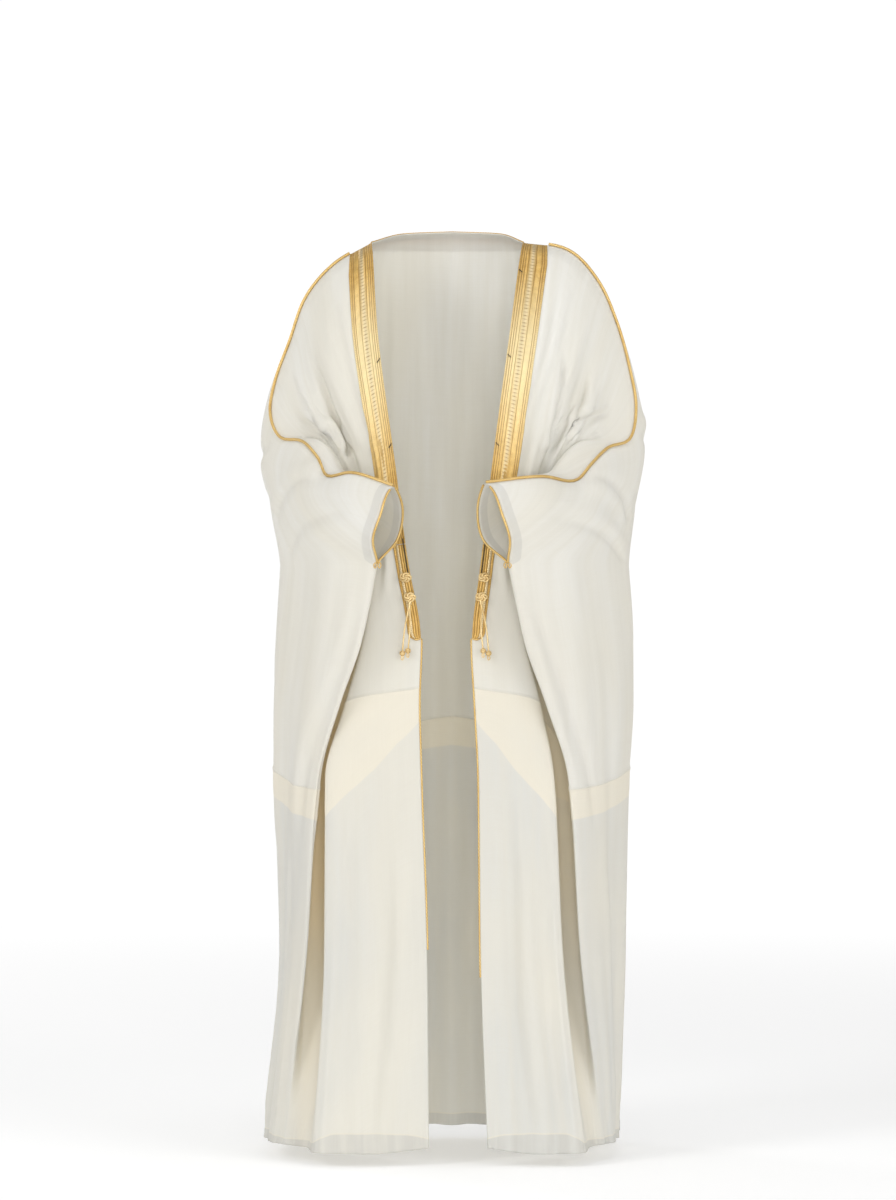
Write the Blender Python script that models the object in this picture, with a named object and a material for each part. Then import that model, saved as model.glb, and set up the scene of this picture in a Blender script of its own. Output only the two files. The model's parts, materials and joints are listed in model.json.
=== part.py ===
"""Worn bisht cloak: sheer cream cloth with gold zari bands and gold seam cords.

Metres, +Z up, the open front faces -Y. Heights in the tables are above the hem
line; the whole garment is then moved so that the centre back of the neck is the
origin. The cloth is one surface cloth_point(side, c, r). Across, c runs 0 front
edge, 1 side fold, 2 centre back. Down, r runs 0 top seam, 1 foot of the cuff,
2 tuck seam, 3 hem.
"""
import math

import bmesh
import bpy
import numpy as np
from mathutils import Matrix, Vector

# Sizes of the garment
NAPE_Y = 0.085
NAPE_Z = 1.492
CUFF_FOOT_Z = 0.940
BELOW_FOOT_Z = 0.880
CLOTH_WALL = 0.0016
SEAM_GAP = 0.0003
BAND_THICK = 0.0013
BAND_WIDTH = 0.046
TAIL_WIDTH = 0.021
CORD_RADIUS = 0.0024
FINE_CORD_RADIUS = 0.0014
STRAND_RADIUS = 0.0016
KNOT_RADIUS = 0.0085
BEAD_RADIUS = 0.0045
BROW_ACROSS = 0.30
BROW_DOWN = 0.10
NECK_AT = 0.58
MITRE_MAX = 1.9
KNOT_HEIGHTS = (0.922, 0.890)
KNOT_FLAT = 0.62
STRAND_FRONT = 0.004
STRAND_END = 0.017

SIDES = {"right": -1.0, "left": 1.0}

# Top seam from neck to cuff
# Columns: w, outward distance x, depth y, height z
SEAM_RIGHT = (
    (0.00, 0.131, 0.000, 1.469),
    (0.12, 0.193, 0.002, 1.432),
    (0.25, 0.237, 0.002, 1.380),
    (0.40, 0.264, 0.000, 1.307),
    (0.55, 0.287, -0.005, 1.243),
    (0.66, 0.295, -0.020, 1.190),
    (0.74, 0.279, -0.050, 1.149),
    (0.80, 0.240, -0.100, 1.139),
    (0.85, 0.218, -0.130, 1.114),
    (0.89, 0.203, -0.160, 1.084),
    (0.94, 0.158, -0.212, 1.087),
    (1.00, 0.094, -0.250, 1.066),
)
SEAM_LEFT = (
    (0.00, 0.116, 0.000, 1.469),
    (0.12, 0.190, 0.002, 1.455),
    (0.25, 0.236, 0.002, 1.408),
    (0.40, 0.268, 0.000, 1.338),
    (0.55, 0.289, -0.005, 1.262),
    (0.66, 0.299, -0.015, 1.198),
    (0.74, 0.288, -0.040, 1.146),
    (0.80, 0.252, -0.080, 1.130),
    (0.85, 0.226, -0.115, 1.104),
    (0.89, 0.200, -0.150, 1.076),
    (0.94, 0.142, -0.212, 1.081),
    (1.00, 0.054, -0.255, 1.071),
)

# Back of the neckline from the shoulder point to the centre back
NECKLINE = ((0.0, 0.000, 1.469), (0.078, 0.062, 1.487), (0.0, NAPE_Y, NAPE_Z))

# Threads under the top seam: two guide points each, and the inward shift of the left side
# Columns: c, x y z of the high guide, x y z of the low guide, left shift
FRONT_THREADS = (
    (0.00, 0.119, -0.098, 1.310, 0.092, -0.130, 1.110, 0.027),
    (0.25, 0.188, -0.092, 1.290, 0.116, -0.126, 1.100, 0.018),
    (0.50, 0.218, -0.080, 1.205, 0.144, -0.108, 1.075, 0.012),
    (0.68, 0.204, -0.089, 1.142, 0.156, -0.086, 1.030, 0.010),
    (0.85, 0.196, -0.118, 1.124, 0.174, -0.100, 1.030, 0.008),
    (0.94, 0.144, -0.186, 1.082, 0.134, -0.160, 1.010, 0.026),
    (1.00, 0.080, -0.218, 1.030, 0.088, -0.208, 0.985, 0.038),
)
BACK_THREADS = (
    (1.00, 0.116, -0.262, 1.020, 0.127, -0.256, 0.985, 0.034),
    (1.07, 0.180, -0.222, 1.045, 0.182, -0.222, 0.990, 0.020),
    (1.15, 0.244, -0.150, 1.070, 0.240, -0.160, 1.000, 0.008),
    (1.30, 0.311, 0.000, 1.140, 0.294, -0.004, 1.030, -0.004),
    (1.42, 0.292, 0.062, 1.220, 0.284, 0.080, 1.060, -0.004),
    (1.50, 0.238, 0.095, 1.310, 0.258, 0.122, 1.100, 0.000),
    (1.58, 0.168, 0.104, 1.370, 0.198, 0.138, 1.120, 0.000),
    (1.79, 0.088, 0.126, 1.370, 0.098, 0.146, 1.120, 0.000),
    (2.00, 0.000, 0.134, 1.370, 0.000, 0.148, 1.120, 0.000),
)
# Where the back threads start on the top seam
B_OF_TOP = (0.00, 0.15, 0.30, 0.42, 0.50, NECK_AT)
W_OF_TOP = (1.00, 0.85, 0.68, 0.40, 0.20, 0.00)

# Level sections under the cuff, one row a height, outward x and depth y at each place
# Columns: height, edge, fold, valley, inner, tip, sleeve, side, hip, back
STATION_C = (0.0, 0.50, 0.68, 0.85, 1.0, 1.15, 1.30, 1.50, 2.0)
STATION_SOFT = (1.0, 0.45, 0.9, 0.9, 0.45, 1.0, 1.0, 1.0, 1.0)
RING_RIGHT = (
    (0.94, (.069, -.150), (.124, -.138), (.142, -.096), (.180, -.096), (.121, -.222),
     (.222, -.172), (.277, -.005), (.240, .122), (.0, .150)),
    (0.82, (.050, -.153), (.142, -.148), (.157, -.096), (.198, -.094), (.144, -.202),
     (.232, -.152), (.285, .000), (.245, .128), (.0, .155)),
    (0.72, (.053, -.156), (.170, -.154), (.172, -.100), (.216, -.092), (.179, -.182),
     (.244, -.136), (.290, .000), (.250, .133), (.0, .160)),
    (0.60, (.050, -.160), (.202, -.162), (.190, -.100), (.230, -.088), (.214, -.156),
     (.257, -.112), (.292, .000), (.252, .140), (.0, .165)),
    (0.31, (.040, -.172), (.204, -.180), (.196, -.122), (.234, -.104), (.236, -.150),
     (.266, -.094), (.281, .005), (.246, .152), (.0, .182)),
    (0.00, (.037, -.185), (.222, -.194), (.232, -.158), (.252, -.134), (.272, -.112),
     (.297, -.062), (.307, .012), (.262, .166), (.0, .200)),
)
RING_LEFT = (
    (0.94, (.045, -.150), (.104, -.138), (.124, -.096), (.166, -.096), (.091, -.226),
     (.214, -.176), (.287, -.005), (.245, .122), (.0, .150)),
    (0.82, (.032, -.153), (.116, -.148), (.134, -.096), (.182, -.094), (.117, -.206),
     (.226, -.156), (.294, .000), (.250, .128), (.0, .155)),
    (0.72, (.037, -.156), (.140, -.154), (.144, -.098), (.196, -.092), (.152, -.186),
     (.238, -.138), (.294, .000), (.252, .133), (.0, .160)),
    (0.60, (.043, -.160), (.162, -.162), (.154, -.098), (.204, -.088), (.188, -.158),
     (.246, -.114), (.288, .000), (.252, .140), (.0, .165)),
    (0.31, (.046, -.172), (.177, -.180), (.170, -.122), (.206, -.104), (.208, -.152),
     (.254, -.098), (.285, .005), (.246, .152), (.0, .182)),
    (0.00, (.057, -.185), (.212, -.194), (.220, -.158), (.230, -.134), (.246, -.112),
     (.264, -.066), (.272, .012), (.244, .166), (.0, .200)),
)

# Heights of the tuck seam and of the hem across the cloth, by c
SEAM_HEIGHT_C = (0.0, 0.5, 0.68, 0.85, 1.0, 1.15, 1.3, 1.5, 2.0)
SEAM_HEIGHT_Z = (.745, .722, .690, .630, .582, .590, .613, .640, .690)
HEM_HEIGHT_C = (0.0, 0.2, 0.5, 0.7, 1.0, 1.3, 2.0)
HEM_HEIGHT_Z = (.008, .000, .002, .006, .006, .004, .000)

# Largest folds
# Columns: side, c at the top, c at the foot, r at the top, r at the foot, half width, lift
FOLDS = (
    ("both", 1.93, 1.94, 0.45, 3.6, 0.075, 0.017),
    ("both", 1.80, 1.82, 0.60, 3.6, 0.065, -0.014),
    ("right", 1.69, 1.71, 0.50, 3.6, 0.065, 0.016),
    ("left", 1.70, 1.69, 0.70, 3.6, 0.065, 0.013),
    ("both", 1.58, 1.59, 0.90, 3.6, 0.060, -0.012),
    ("right", 1.46, 1.48, 1.00, 3.6, 0.060, 0.013),
    ("left", 1.47, 1.47, 1.20, 3.6, 0.060, 0.015),
    ("both", 1.36, 1.38, 1.50, 3.6, 0.050, -0.010),
    ("right", 1.21, 1.23, 1.40, 3.6, 0.060, -0.008),
    ("left", 1.20, 1.22, 1.80, 3.6, 0.060, -0.009),
    ("both", 0.22, 0.25, 1.90, 3.6, 0.120, 0.006),
    ("right", 0.40, 0.56, 0.12, 0.70, 0.085, -0.012),
    ("left", 0.42, 0.58, 0.12, 0.70, 0.085, -0.012),
    ("both", 0.20, 0.30, 0.10, 1.30, 0.080, 0.006),
)

# Columns and rows of the panels
FRONT_STEPS = (0, .03, .066, .14, .22, .31, .40, .46, .5, .54, .60, .66, .72, .77,
               .82, .87, .91, .945, .975, 1)
BAND_COLUMNS = 2
NECK_STEPS = 10
UPPER_ROWS = (0, .035, .075, .15, .24, .34, .44, .54, .64, .74, .84, .93, 1)
WIDE_END_ROW = 11
TAIL_END_ROW = 15
MIDDLE_STEPS = 5
LOWER_STEPS = 10
SIDE_CUT = 1.50
EDGE_CORD_END_ROW = {"right": 23, "left": 24}
# Hanging cords of a tassel: outward reach and drop of each bead
STRANDS = ((0.003, 0.086), (0.012, 0.090))


def pchip(knots, values, at):
    """Shape-keeping curve through rows of values at rising knots."""
    k = np.asarray(knots, float)
    v = np.asarray(values, float).reshape(len(k), -1)
    x = np.clip(np.atleast_1d(np.asarray(at, float)), k[0], k[-1])
    h = np.diff(k)
    d = np.diff(v, axis=0) / h[:, None]
    slope = np.zeros_like(v)
    slope[0] = d[0]
    slope[-1] = d[-1]
    for i in range(1, len(k) - 1):
        wa = 2 * h[i] + h[i - 1]
        wb = h[i] + 2 * h[i - 1]
        for q in range(v.shape[1]):
            a, b = d[i - 1, q], d[i, q]
            if a * b > 0:
                slope[i, q] = (wa + wb) / (wa / a + wb / b)
    return hermite(k, v, slope, slope, x)


def hermite(k, v, leave, arrive, x):
    """Cubic pieces with a slope leaving and a slope arriving at each knot."""
    i = np.clip(np.searchsorted(k, x, side="right") - 1, 0, len(k) - 2)
    h = (k[i + 1] - k[i])[:, None]
    t = ((x - k[i]) / h[:, 0])[:, None]
    t2, t3 = t * t, t * t * t
    return ((2 * t3 - 3 * t2 + 1) * v[i] + (t3 - 2 * t2 + t) * h * leave[i]
            + (3 * t2 - 2 * t3) * v[i + 1] + (t3 - t2) * h * arrive[i + 1])


def soft_curve(knots, points, soft, at):
    """Curve through points; soft near 0 makes a crisp turn, 1 a round one."""
    k = np.asarray(knots, float)
    p = np.asarray(points, float)
    chord = np.diff(p, axis=0)
    size = np.maximum(np.linalg.norm(chord, axis=1), 1e-9)
    way = chord / size[:, None]
    h = np.diff(k)
    tangent = np.zeros_like(p)
    tangent[0], tangent[-1] = way[0], way[-1]
    mid = way[:-1] + way[1:]
    tangent[1:-1] = mid / np.maximum(np.linalg.norm(mid, axis=1), 1e-6)[:, None]
    s = np.asarray(soft, float)[:, None]
    leave = np.zeros_like(p)
    arrive = np.zeros_like(p)
    leave[:-1] = tangent[:-1] * s[:-1] * (size / h)[:, None]
    arrive[1:] = tangent[1:] * s[1:] * (size / h)[:, None]
    x = np.clip(np.atleast_1d(np.asarray(at, float)), k[0], k[-1])
    return hermite(k, p, leave, arrive, x)


def seam_point(side, w):
    """Top seam from the neck to the cuff."""
    table = np.array(SEAM_RIGHT if side == "right" else SEAM_LEFT)
    return soft_curve(table[:, 0], table[:, 1:], np.ones(len(table)), w)[0]


def top_point(side, c):
    """Top edge of the cloth at column c."""
    if c <= 1.0:
        return seam_point(side, c)
    b = c - 1.0
    if b <= NECK_AT:
        return seam_point(side, float(np.interp(b, B_OF_TOP, W_OF_TOP)))
    line = np.array(NECKLINE)
    line[0] = seam_point(side, 0.0)
    return pchip((0.0, 0.5, 1.0), line, (b - NECK_AT) / (1.0 - NECK_AT))[0]


def ring_point(side, c, z):
    """Level section of the hanging cloth at column c and height z."""
    table = RING_RIGHT if side == "right" else RING_LEFT
    heights = [-row[0] for row in table]
    flat = np.array([[v for place in row[1:] for v in place] for row in table])
    places = pchip(heights, flat, -z)[0].reshape(-1, 2)
    xy = soft_curve(STATION_C, places, STATION_SOFT, c)[0]
    return np.array([xy[0], xy[1], z])


def thread_points(side, row, v):
    """One guide thread from the top edge to the foot of the cuff."""
    c = row[0]
    top = top_point(side, c)
    high, low = np.array(row[1:4]), np.array(row[4:7])
    if side == "left":
        high[0] -= row[7]
        low[0] -= row[7]
    brow = top + (high - top) * np.array([BROW_ACROSS, BROW_ACROSS, BROW_DOWN])
    points = np.array([top, brow, high, low, ring_point(side, c, CUFF_FOOT_Z),
                       ring_point(side, c, BELOW_FOOT_Z)])
    if c == 0.0:
        points[1] = top + (high - top) * np.array([0.18, 0.34, 0.12])
    along = np.concatenate([[0], np.cumsum(np.linalg.norm(np.diff(points, axis=0), axis=1))])
    along = along / along[4]
    return soft_curve(along, points, np.ones(6), v)[0]


def thread_row(side, v, front):
    """All guide threads of a sheet at one level, kept for the next call."""
    key = (side, round(float(v), 6), front)
    if key not in THREAD_ROWS:
        table = FRONT_THREADS if front else BACK_THREADS
        THREAD_ROWS[key] = np.array([thread_points(side, row, v) for row in table])
    return THREAD_ROWS[key]


def upper_point(side, c, v, front):
    """Cloth between the top edge and the foot of the cuff."""
    table = FRONT_THREADS if front else BACK_THREADS
    knots = [row[0] for row in table]
    guide = thread_row(side, v, front)
    start = thread_row(side, 0.0, front)
    foot = thread_row(side, 1.0, front)
    soft = np.ones(len(knots))
    here = soft_curve(knots, guide, soft, c)[0]
    fix_top = top_point(side, c) - soft_curve(knots, start, soft, c)[0]
    fix_foot = ring_point(side, c, CUFF_FOOT_Z) - soft_curve(knots, foot, soft, c)[0]
    return here + fix_top * (1 - v) ** 2 + fix_foot * v ** 2


def cloth_point(side, c, r, front):
    """Point of the cloth before its folds, outward x positive."""
    if r <= 1.0:
        return upper_point(side, c, r, front)
    seam = float(pchip(SEAM_HEIGHT_C, SEAM_HEIGHT_Z, c)[0, 0])
    hem = float(pchip(HEM_HEIGHT_C, HEM_HEIGHT_Z, c)[0, 0])
    if r <= 2.0:
        z = CUFF_FOOT_Z + (seam - CUFF_FOOT_Z) * (r - 1.0)
    else:
        z = seam + (hem - seam) * (r - 2.0)
    return ring_point(side, c, z)


def band_reach(side, r):
    """Columns at the tail width and at the band width from the front edge."""
    tries = np.linspace(0.0, 0.46, 24)
    line = np.array([cloth_point(side, c, r, True) for c in tries])
    run = np.concatenate([[0], np.cumsum(np.linalg.norm(np.diff(line, axis=0), axis=1))])
    return np.interp((TAIL_WIDTH, BAND_WIDTH), run, tries)


def front_column(side, i, r):
    """Column value of front grid line i, with the band edges on grid lines."""
    c = float(FRONT_STEPS[i])
    if r <= 0.0 or i == 0 or c >= 0.5:
        return c
    tail, band = REACH[(side, round(r, 4))]
    if i <= BAND_COLUMNS:
        return float((tail, band)[i - 1])
    first = FRONT_STEPS[BAND_COLUMNS]
    return float(band + (c - first) / (0.5 - first) * (0.5 - band))


def fold_lift(side, c, r):
    """Sum of the large folds at a place, out of the cloth positive."""
    total = 0.0
    for who, c_top, c_foot, r_top, r_foot, half, lift in FOLDS:
        if who not in ("both", side) or r <= r_top or r >= r_foot:
            continue
        t = (r - r_top) / (r_foot - r_top)
        off = abs(c - (c_top + (c_foot - c_top) * t)) / half
        if off < 1.0:
            rise = min(1.0, t / 0.4)
            rise = rise * rise * (3 - 2 * rise)
            if r_foot < 3.0:
                rise *= min(1.0, (1 - t) / 0.25)
            total += lift * rise * (0.5 + 0.5 * math.cos(math.pi * off))
    return total


def columns_front():
    return [float(w) for w in FRONT_STEPS]


def columns_back():
    under = [1.0 + float(np.interp(-w, [-v for v in W_OF_TOP], B_OF_TOP))
             for w in reversed(FRONT_STEPS)]
    neck = [1.0 + NECK_AT + (1 - NECK_AT) * k / NECK_STEPS for k in range(1, NECK_STEPS + 1)]
    return under + neck


def rows_all():
    rows = [float(v) for v in UPPER_ROWS]
    rows += [1.0 + k / MIDDLE_STEPS for k in range(1, MIDDLE_STEPS + 1)]
    rows += [2.0 + k / LOWER_STEPS for k in range(1, LOWER_STEPS + 1)]
    return rows


REACH = {}
THREAD_ROWS = {}


class Cloth:
    """The joined cloth: welded grid of both sides, with outward normals."""

    def __init__(self):
        self.rows = rows_all()
        self.front = columns_front()
        self.back = columns_back()
        self.points = []
        self.places = []
        self.index = {}
        self.faces = []
        self.trims = []
        for side in SIDES:
            for r in self.rows[1:]:
                REACH[(side, round(r, 4))] = band_reach(side, r)
            self.add_side(side)
        self.points = np.array(self.points)
        self.normals, self.mitres = self.measure()
        lifts = np.array([fold_lift(s, c, r) for s, c, r in self.places])
        self.points = self.points + self.normals * lifts[:, None]
        self.normals, self.mitres = self.measure()

    def key(self, side, sheet, i, j):
        """Name of the shared vertex at column i and row j of a sheet."""
        last = len(self.front) - 1
        if sheet == "back" and j == 0 and i <= last:
            return (side, "front", last - i, 0)
        if sheet == "back" and i == 0 and self.rows[j] >= 1.0:
            return (side, "front", last, j)
        if sheet == "back" and i == len(self.back) - 1:
            return ("both", "back", i, j)
        return (side, sheet, i, j)

    def vertex(self, side, sheet, i, j):
        key = self.key(side, sheet, i, j)
        if key not in self.index:
            r = self.rows[j]
            c = front_column(side, i, r) if sheet == "front" else self.back[i]
            p = cloth_point(side, c, r, sheet == "front")
            self.index[key] = len(self.points)
            self.points.append([p[0] * SIDES[side], p[1], p[2]])
            self.places.append((side, c, r))
        return self.index[key]

    def add_side(self, side):
        for sheet, columns in (("front", self.front), ("back", self.back)):
            for j in range(len(self.rows) - 1):
                for i in range(len(columns) - 1):
                    quad = [self.vertex(side, sheet, i, j), self.vertex(side, sheet, i, j + 1),
                            self.vertex(side, sheet, i + 1, j + 1), self.vertex(side, sheet, i + 1, j)]
                    if side == "right":
                        quad.reverse()
                    self.faces.append((self.piece(side, sheet, columns, i, j), quad))
                    trim = self.trim(side, sheet, i, j)
                    if trim:
                        self.trims.append((trim, quad))

    def piece(self, side, sheet, columns, i, j):
        """Name of the cut panel that a quad belongs to."""
        level = "upper" if self.rows[j] < 2.0 - 1e-6 else "lower"
        if sheet == "front":
            return f"front_{level}_{side}"
        if columns[i] < SIDE_CUT - 1e-6:
            return f"sleeve_{side}" if level == "upper" else f"side_lower_{side}"
        return f"back_{level}"

    def trim(self, side, sheet, i, j):
        """Name of the sewn-on band over a quad, if one lies there."""
        if sheet == "front" and i < BAND_COLUMNS and j < WIDE_END_ROW:
            return f"band_{side}"
        if sheet == "front" and i < 1 and WIDE_END_ROW <= j < TAIL_END_ROW:
            return f"band_tail_{side}"
        if sheet == "back" and i >= len(self.front) - 1 - BAND_COLUMNS and j < 2:
            return "neck_band"
        return ""

    def measure(self):
        """Angle-weighted outward normals and the mitre length of each vertex."""
        normals = np.zeros_like(self.points)
        flat = []
        for _, quad in self.faces:
            p = self.points[quad]
            n = np.cross(p[2] - p[0], p[3] - p[1])
            n = n / max(np.linalg.norm(n), 1e-12)
            flat.append(n)
            for k in range(4):
                a = p[(k + 1) % 4] - p[k]
                b = p[k - 1] - p[k]
                size = max(np.linalg.norm(a) * np.linalg.norm(b), 1e-12)
                normals[quad[k]] += n * math.acos(max(-1.0, min(1.0, float(a @ b) / size)))
        normals /= np.maximum(np.linalg.norm(normals, axis=1), 1e-12)[:, None]
        low = np.ones(len(self.points))
        for n, (_, quad) in zip(flat, self.faces):
            for v in quad:
                low[v] = min(low[v], float(n @ normals[v]))
        return normals, np.minimum(1.0 / np.maximum(low, 0.05), MITRE_MAX)

    def grid(self, side, sheet, i, j):
        """Index of the vertex at a column and a row."""
        return self.index[self.key(side, sheet, i, j)]


def inward(points, quad, a, b):
    """Unit way from an edge into the quad beside it."""
    middle = points[quad].mean(axis=0)
    along = points[b] - points[a]
    along = along / max(np.linalg.norm(along), 1e-12)
    way = middle - (points[a] + points[b]) / 2
    way = way - along * float(way @ along)
    return way / max(np.linalg.norm(way), 1e-12)


def edge_table(faces):
    """Quads beside each edge of a layer."""
    table = {}
    for k, (_, quad) in enumerate(faces):
        for n in range(4):
            table.setdefault(frozenset((quad[n], quad[(n + 1) % 4])), []).append(k)
    return table


def rim_shifts(points, faces, edges, name):
    """Moves that hold the rims of touching pieces one seam gap apart."""
    ways = {}
    for edge, beside in edges.items():
        names = [faces[k][0] for k in beside]
        if name not in names or len(set(names)) < 2:
            continue
        a, b = tuple(edge)
        own = faces[beside[names.index(name)]][1]
        far = next(k for k, who in zip(beside, names) if who != name)
        pair = (inward(points, own, a, b), inward(points, faces[far][1], a, b))
        for v in (a, b):
            ways.setdefault(v, {}).setdefault(faces[far][0], []).append(pair)
    shifts = {}
    for v, by_name in ways.items():
        move = np.zeros(3)
        for pairs in by_name.values():
            own = np.mean([p[0] for p in pairs], axis=0)
            far = np.mean([p[1] for p in pairs], axis=0)
            open_way = max(float(np.linalg.norm(own - far)) / 2, 0.3)
            move = move + own * (SEAM_GAP / 2 / open_way)
        shifts[v] = move
    return shifts


def shell(cloth, faces, edges, name, low, high):
    """Closed wall over the quads of one piece, between two offsets."""
    own = [quad for who, quad in faces if who == name]
    used = sorted({v for quad in own for v in quad})
    place = {v: k for k, v in enumerate(used)}
    shifts = rim_shifts(cloth.points, faces, edges, name)
    outer, inner = [], []
    for v in used:
        base = cloth.points[v] + shifts.get(v, np.zeros(3))
        reach = cloth.normals[v] * cloth.mitres[v]
        outer.append(base + reach * high)
        inner.append(base + reach * low)
    count = len(used)
    polys = []
    borders = {}
    for quad in own:
        q = [place[v] for v in quad]
        for tri in ([q[0], q[1], q[2]], [q[0], q[2], q[3]]):
            polys.append(tri)
            polys.append([v + count for v in reversed(tri)])
        for n in range(4):
            a, b = q[n], q[(n + 1) % 4]
            if (b, a) in borders:
                del borders[(b, a)]
            else:
                borders[(a, b)] = True
    for a, b in borders:
        if used[a] < used[b]:
            polys += [[b, a, b + count], [a, a + count, b + count]]
        else:
            polys += [[b, a, a + count], [b, a + count, b + count]]
    return outer + inner, polys


def add_mesh(name, points, polys, material, group):
    mesh = bpy.data.meshes.new(name)
    mesh.from_pydata([tuple(p) for p in points], [], polys)
    mesh.validate()
    mesh.materials.append(material)
    for poly in mesh.polygons:
        poly.use_smooth = True
    item = bpy.data.objects.new(name, mesh)
    group.objects.link(item)
    return item


def add_cord(name, points, radius, material, group, closed=False):
    """Round cord swept along a line of points."""
    curve = bpy.data.curves.new(name, "CURVE")
    curve.dimensions = "3D"
    curve.bevel_depth = radius
    curve.bevel_resolution = 1
    curve.use_fill_caps = not closed
    line = curve.splines.new("POLY")
    line.points.add(len(points) - 1)
    for slot, p in zip(line.points, points):
        slot.co = (float(p[0]), float(p[1]), float(p[2]), 1.0)
    line.use_cyclic_u = closed
    curve.materials.append(material)
    item = bpy.data.objects.new(name, curve)
    group.objects.link(item)
    return item


def add_ball(name, centre, radii, material, group, segments=14, rings=9):
    mesh = bpy.data.meshes.new(name)
    body = bmesh.new()
    bmesh.ops.create_uvsphere(body, u_segments=segments, v_segments=rings, radius=1.0)
    body.transform(Matrix.Translation(Vector(centre)) @ Matrix.Diagonal((*radii, 1.0)))
    for face in body.faces:
        face.smooth = True
    body.to_mesh(mesh)
    body.free()
    mesh.materials.append(material)
    item = bpy.data.objects.new(name, mesh)
    group.objects.link(item)
    return item


def make_material(name, colour, roughness, metallic):
    material = bpy.data.materials.new(name)
    material.use_nodes = True
    shader = material.node_tree.nodes["Principled BSDF"]
    shader.inputs["Base Color"].default_value = (*colour, 1.0)
    shader.inputs["Roughness"].default_value = roughness
    shader.inputs["Metallic"].default_value = metallic
    material.diffuse_color = (*colour, 1.0)
    return material


def seam_cord_line(cloth, side):
    """Cord line lying on the top seam, from the band to the cuff."""
    reach = CLOTH_WALL / 2 + SEAM_GAP + CORD_RADIUS
    line = []
    for i in range(BAND_COLUMNS, len(cloth.front)):
        v = cloth.grid(side, "front", i, 0)
        step = cloth.normals[v] * (reach + CLOTH_WALL / 2 * (cloth.mitres[v] - 1))
        line.append(cloth.points[v] + step)
    line[0] = line[0] + (line[1] - line[0]) * 0.08
    line[-1] = line[-1] + (line[-2] - line[-1]) * 0.06
    return line


def rim_line(cloth, side, sheet, i, j_from, j_to, radius, inner_i):
    """Line beside a free edge of a sheet, one cord radius outside its rim."""
    line = []
    for j in range(j_from, j_to + 1):
        v = cloth.grid(side, sheet, i, j)
        near = cloth.grid(side, sheet, inner_i, j)
        above = cloth.grid(side, sheet, i, max(j - 1, 0))
        below = cloth.grid(side, sheet, i, min(j + 1, len(cloth.rows) - 1))
        along = cloth.points[below] - cloth.points[above]
        along = along / np.linalg.norm(along)
        way = cloth.points[v] - cloth.points[near]
        way = way - along * float(way @ along)
        way = way - cloth.normals[v] * float(way @ cloth.normals[v])
        way = way / max(np.linalg.norm(way), 1e-9)
        line.append(cloth.points[v] + way * (radius + SEAM_GAP))
    return line


def cuff_cord_line(cloth, side):
    """Open loop of cord just inside the cuff slit."""
    last = len(cloth.front) - 1
    foot = len(UPPER_ROWS) - 1
    outer = rim_line(cloth, side, "back", 0, 2, foot - 1, CORD_RADIUS * 0.8, 1)
    inner = rim_line(cloth, side, "front", last, 2, foot - 1, CORD_RADIUS * 0.8, last - 1)
    foot_point = cloth.points[cloth.grid(side, "front", last, foot)]
    keep_outer, keep_inner = [], []
    for a, b in zip(outer, inner):
        if np.linalg.norm(a - b) > CORD_RADIUS * 3.2:
            keep_outer.append(a)
            keep_inner.append(b)
    turn = (keep_outer[-1] + keep_inner[-1]) / 2
    turn = turn + (foot_point - turn) * 0.45
    return keep_outer + [turn] + keep_inner[::-1]


def tail_place(cloth, side, z):
    """Place and outward way on the band tail at a height."""
    outer, ways = [], []
    for j in range(WIDE_END_ROW, TAIL_END_ROW + 1):
        a = cloth.grid(side, "front", 0, j)
        b = cloth.grid(side, "front", 1, j)
        outer.append(cloth.points[a] * 0.62 + cloth.points[b] * 0.38)
        ways.append(cloth.normals[a] * 0.62 + cloth.normals[b] * 0.38)
    heights = [-p[2] for p in outer]
    centre = np.array([np.interp(-z, heights, [p[q] for p in outer]) for q in range(3)])
    way = np.array([np.interp(-z, heights, [p[q] for p in ways]) for q in range(3)])
    way = way / np.linalg.norm(way)
    return centre + way * (CLOTH_WALL / 2 + SEAM_GAP + BAND_THICK), way


def fuse(base, others):
    """Join closed bodies into one."""
    bpy.context.view_layer.objects.active = base
    for other in others:
        cut = base.modifiers.new("join", "BOOLEAN")
        cut.operation = "UNION"
        cut.solver = "EXACT"
        cut.object = other
        bpy.ops.object.modifier_apply(modifier=cut.name)
        bpy.data.objects.remove(other, do_unlink=True)
    return base


def strand_mesh(name, top, foot, radius, material, group):
    """Four-sided strand between two points, closed at both ends."""
    mesh = bpy.data.meshes.new(name)
    body = bmesh.new()
    way = Vector(foot) - Vector(top)
    bmesh.ops.create_cone(body, cap_ends=True, segments=4, radius1=radius, radius2=radius,
                          depth=way.length)
    turn = way.to_track_quat("Z", "Y").to_matrix().to_4x4()
    body.transform(Matrix.Translation((Vector(top) + Vector(foot)) / 2) @ turn)
    body.to_mesh(mesh)
    body.free()
    mesh.materials.append(material)
    item = bpy.data.objects.new(name, mesh)
    group.objects.link(item)
    return item


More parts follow.
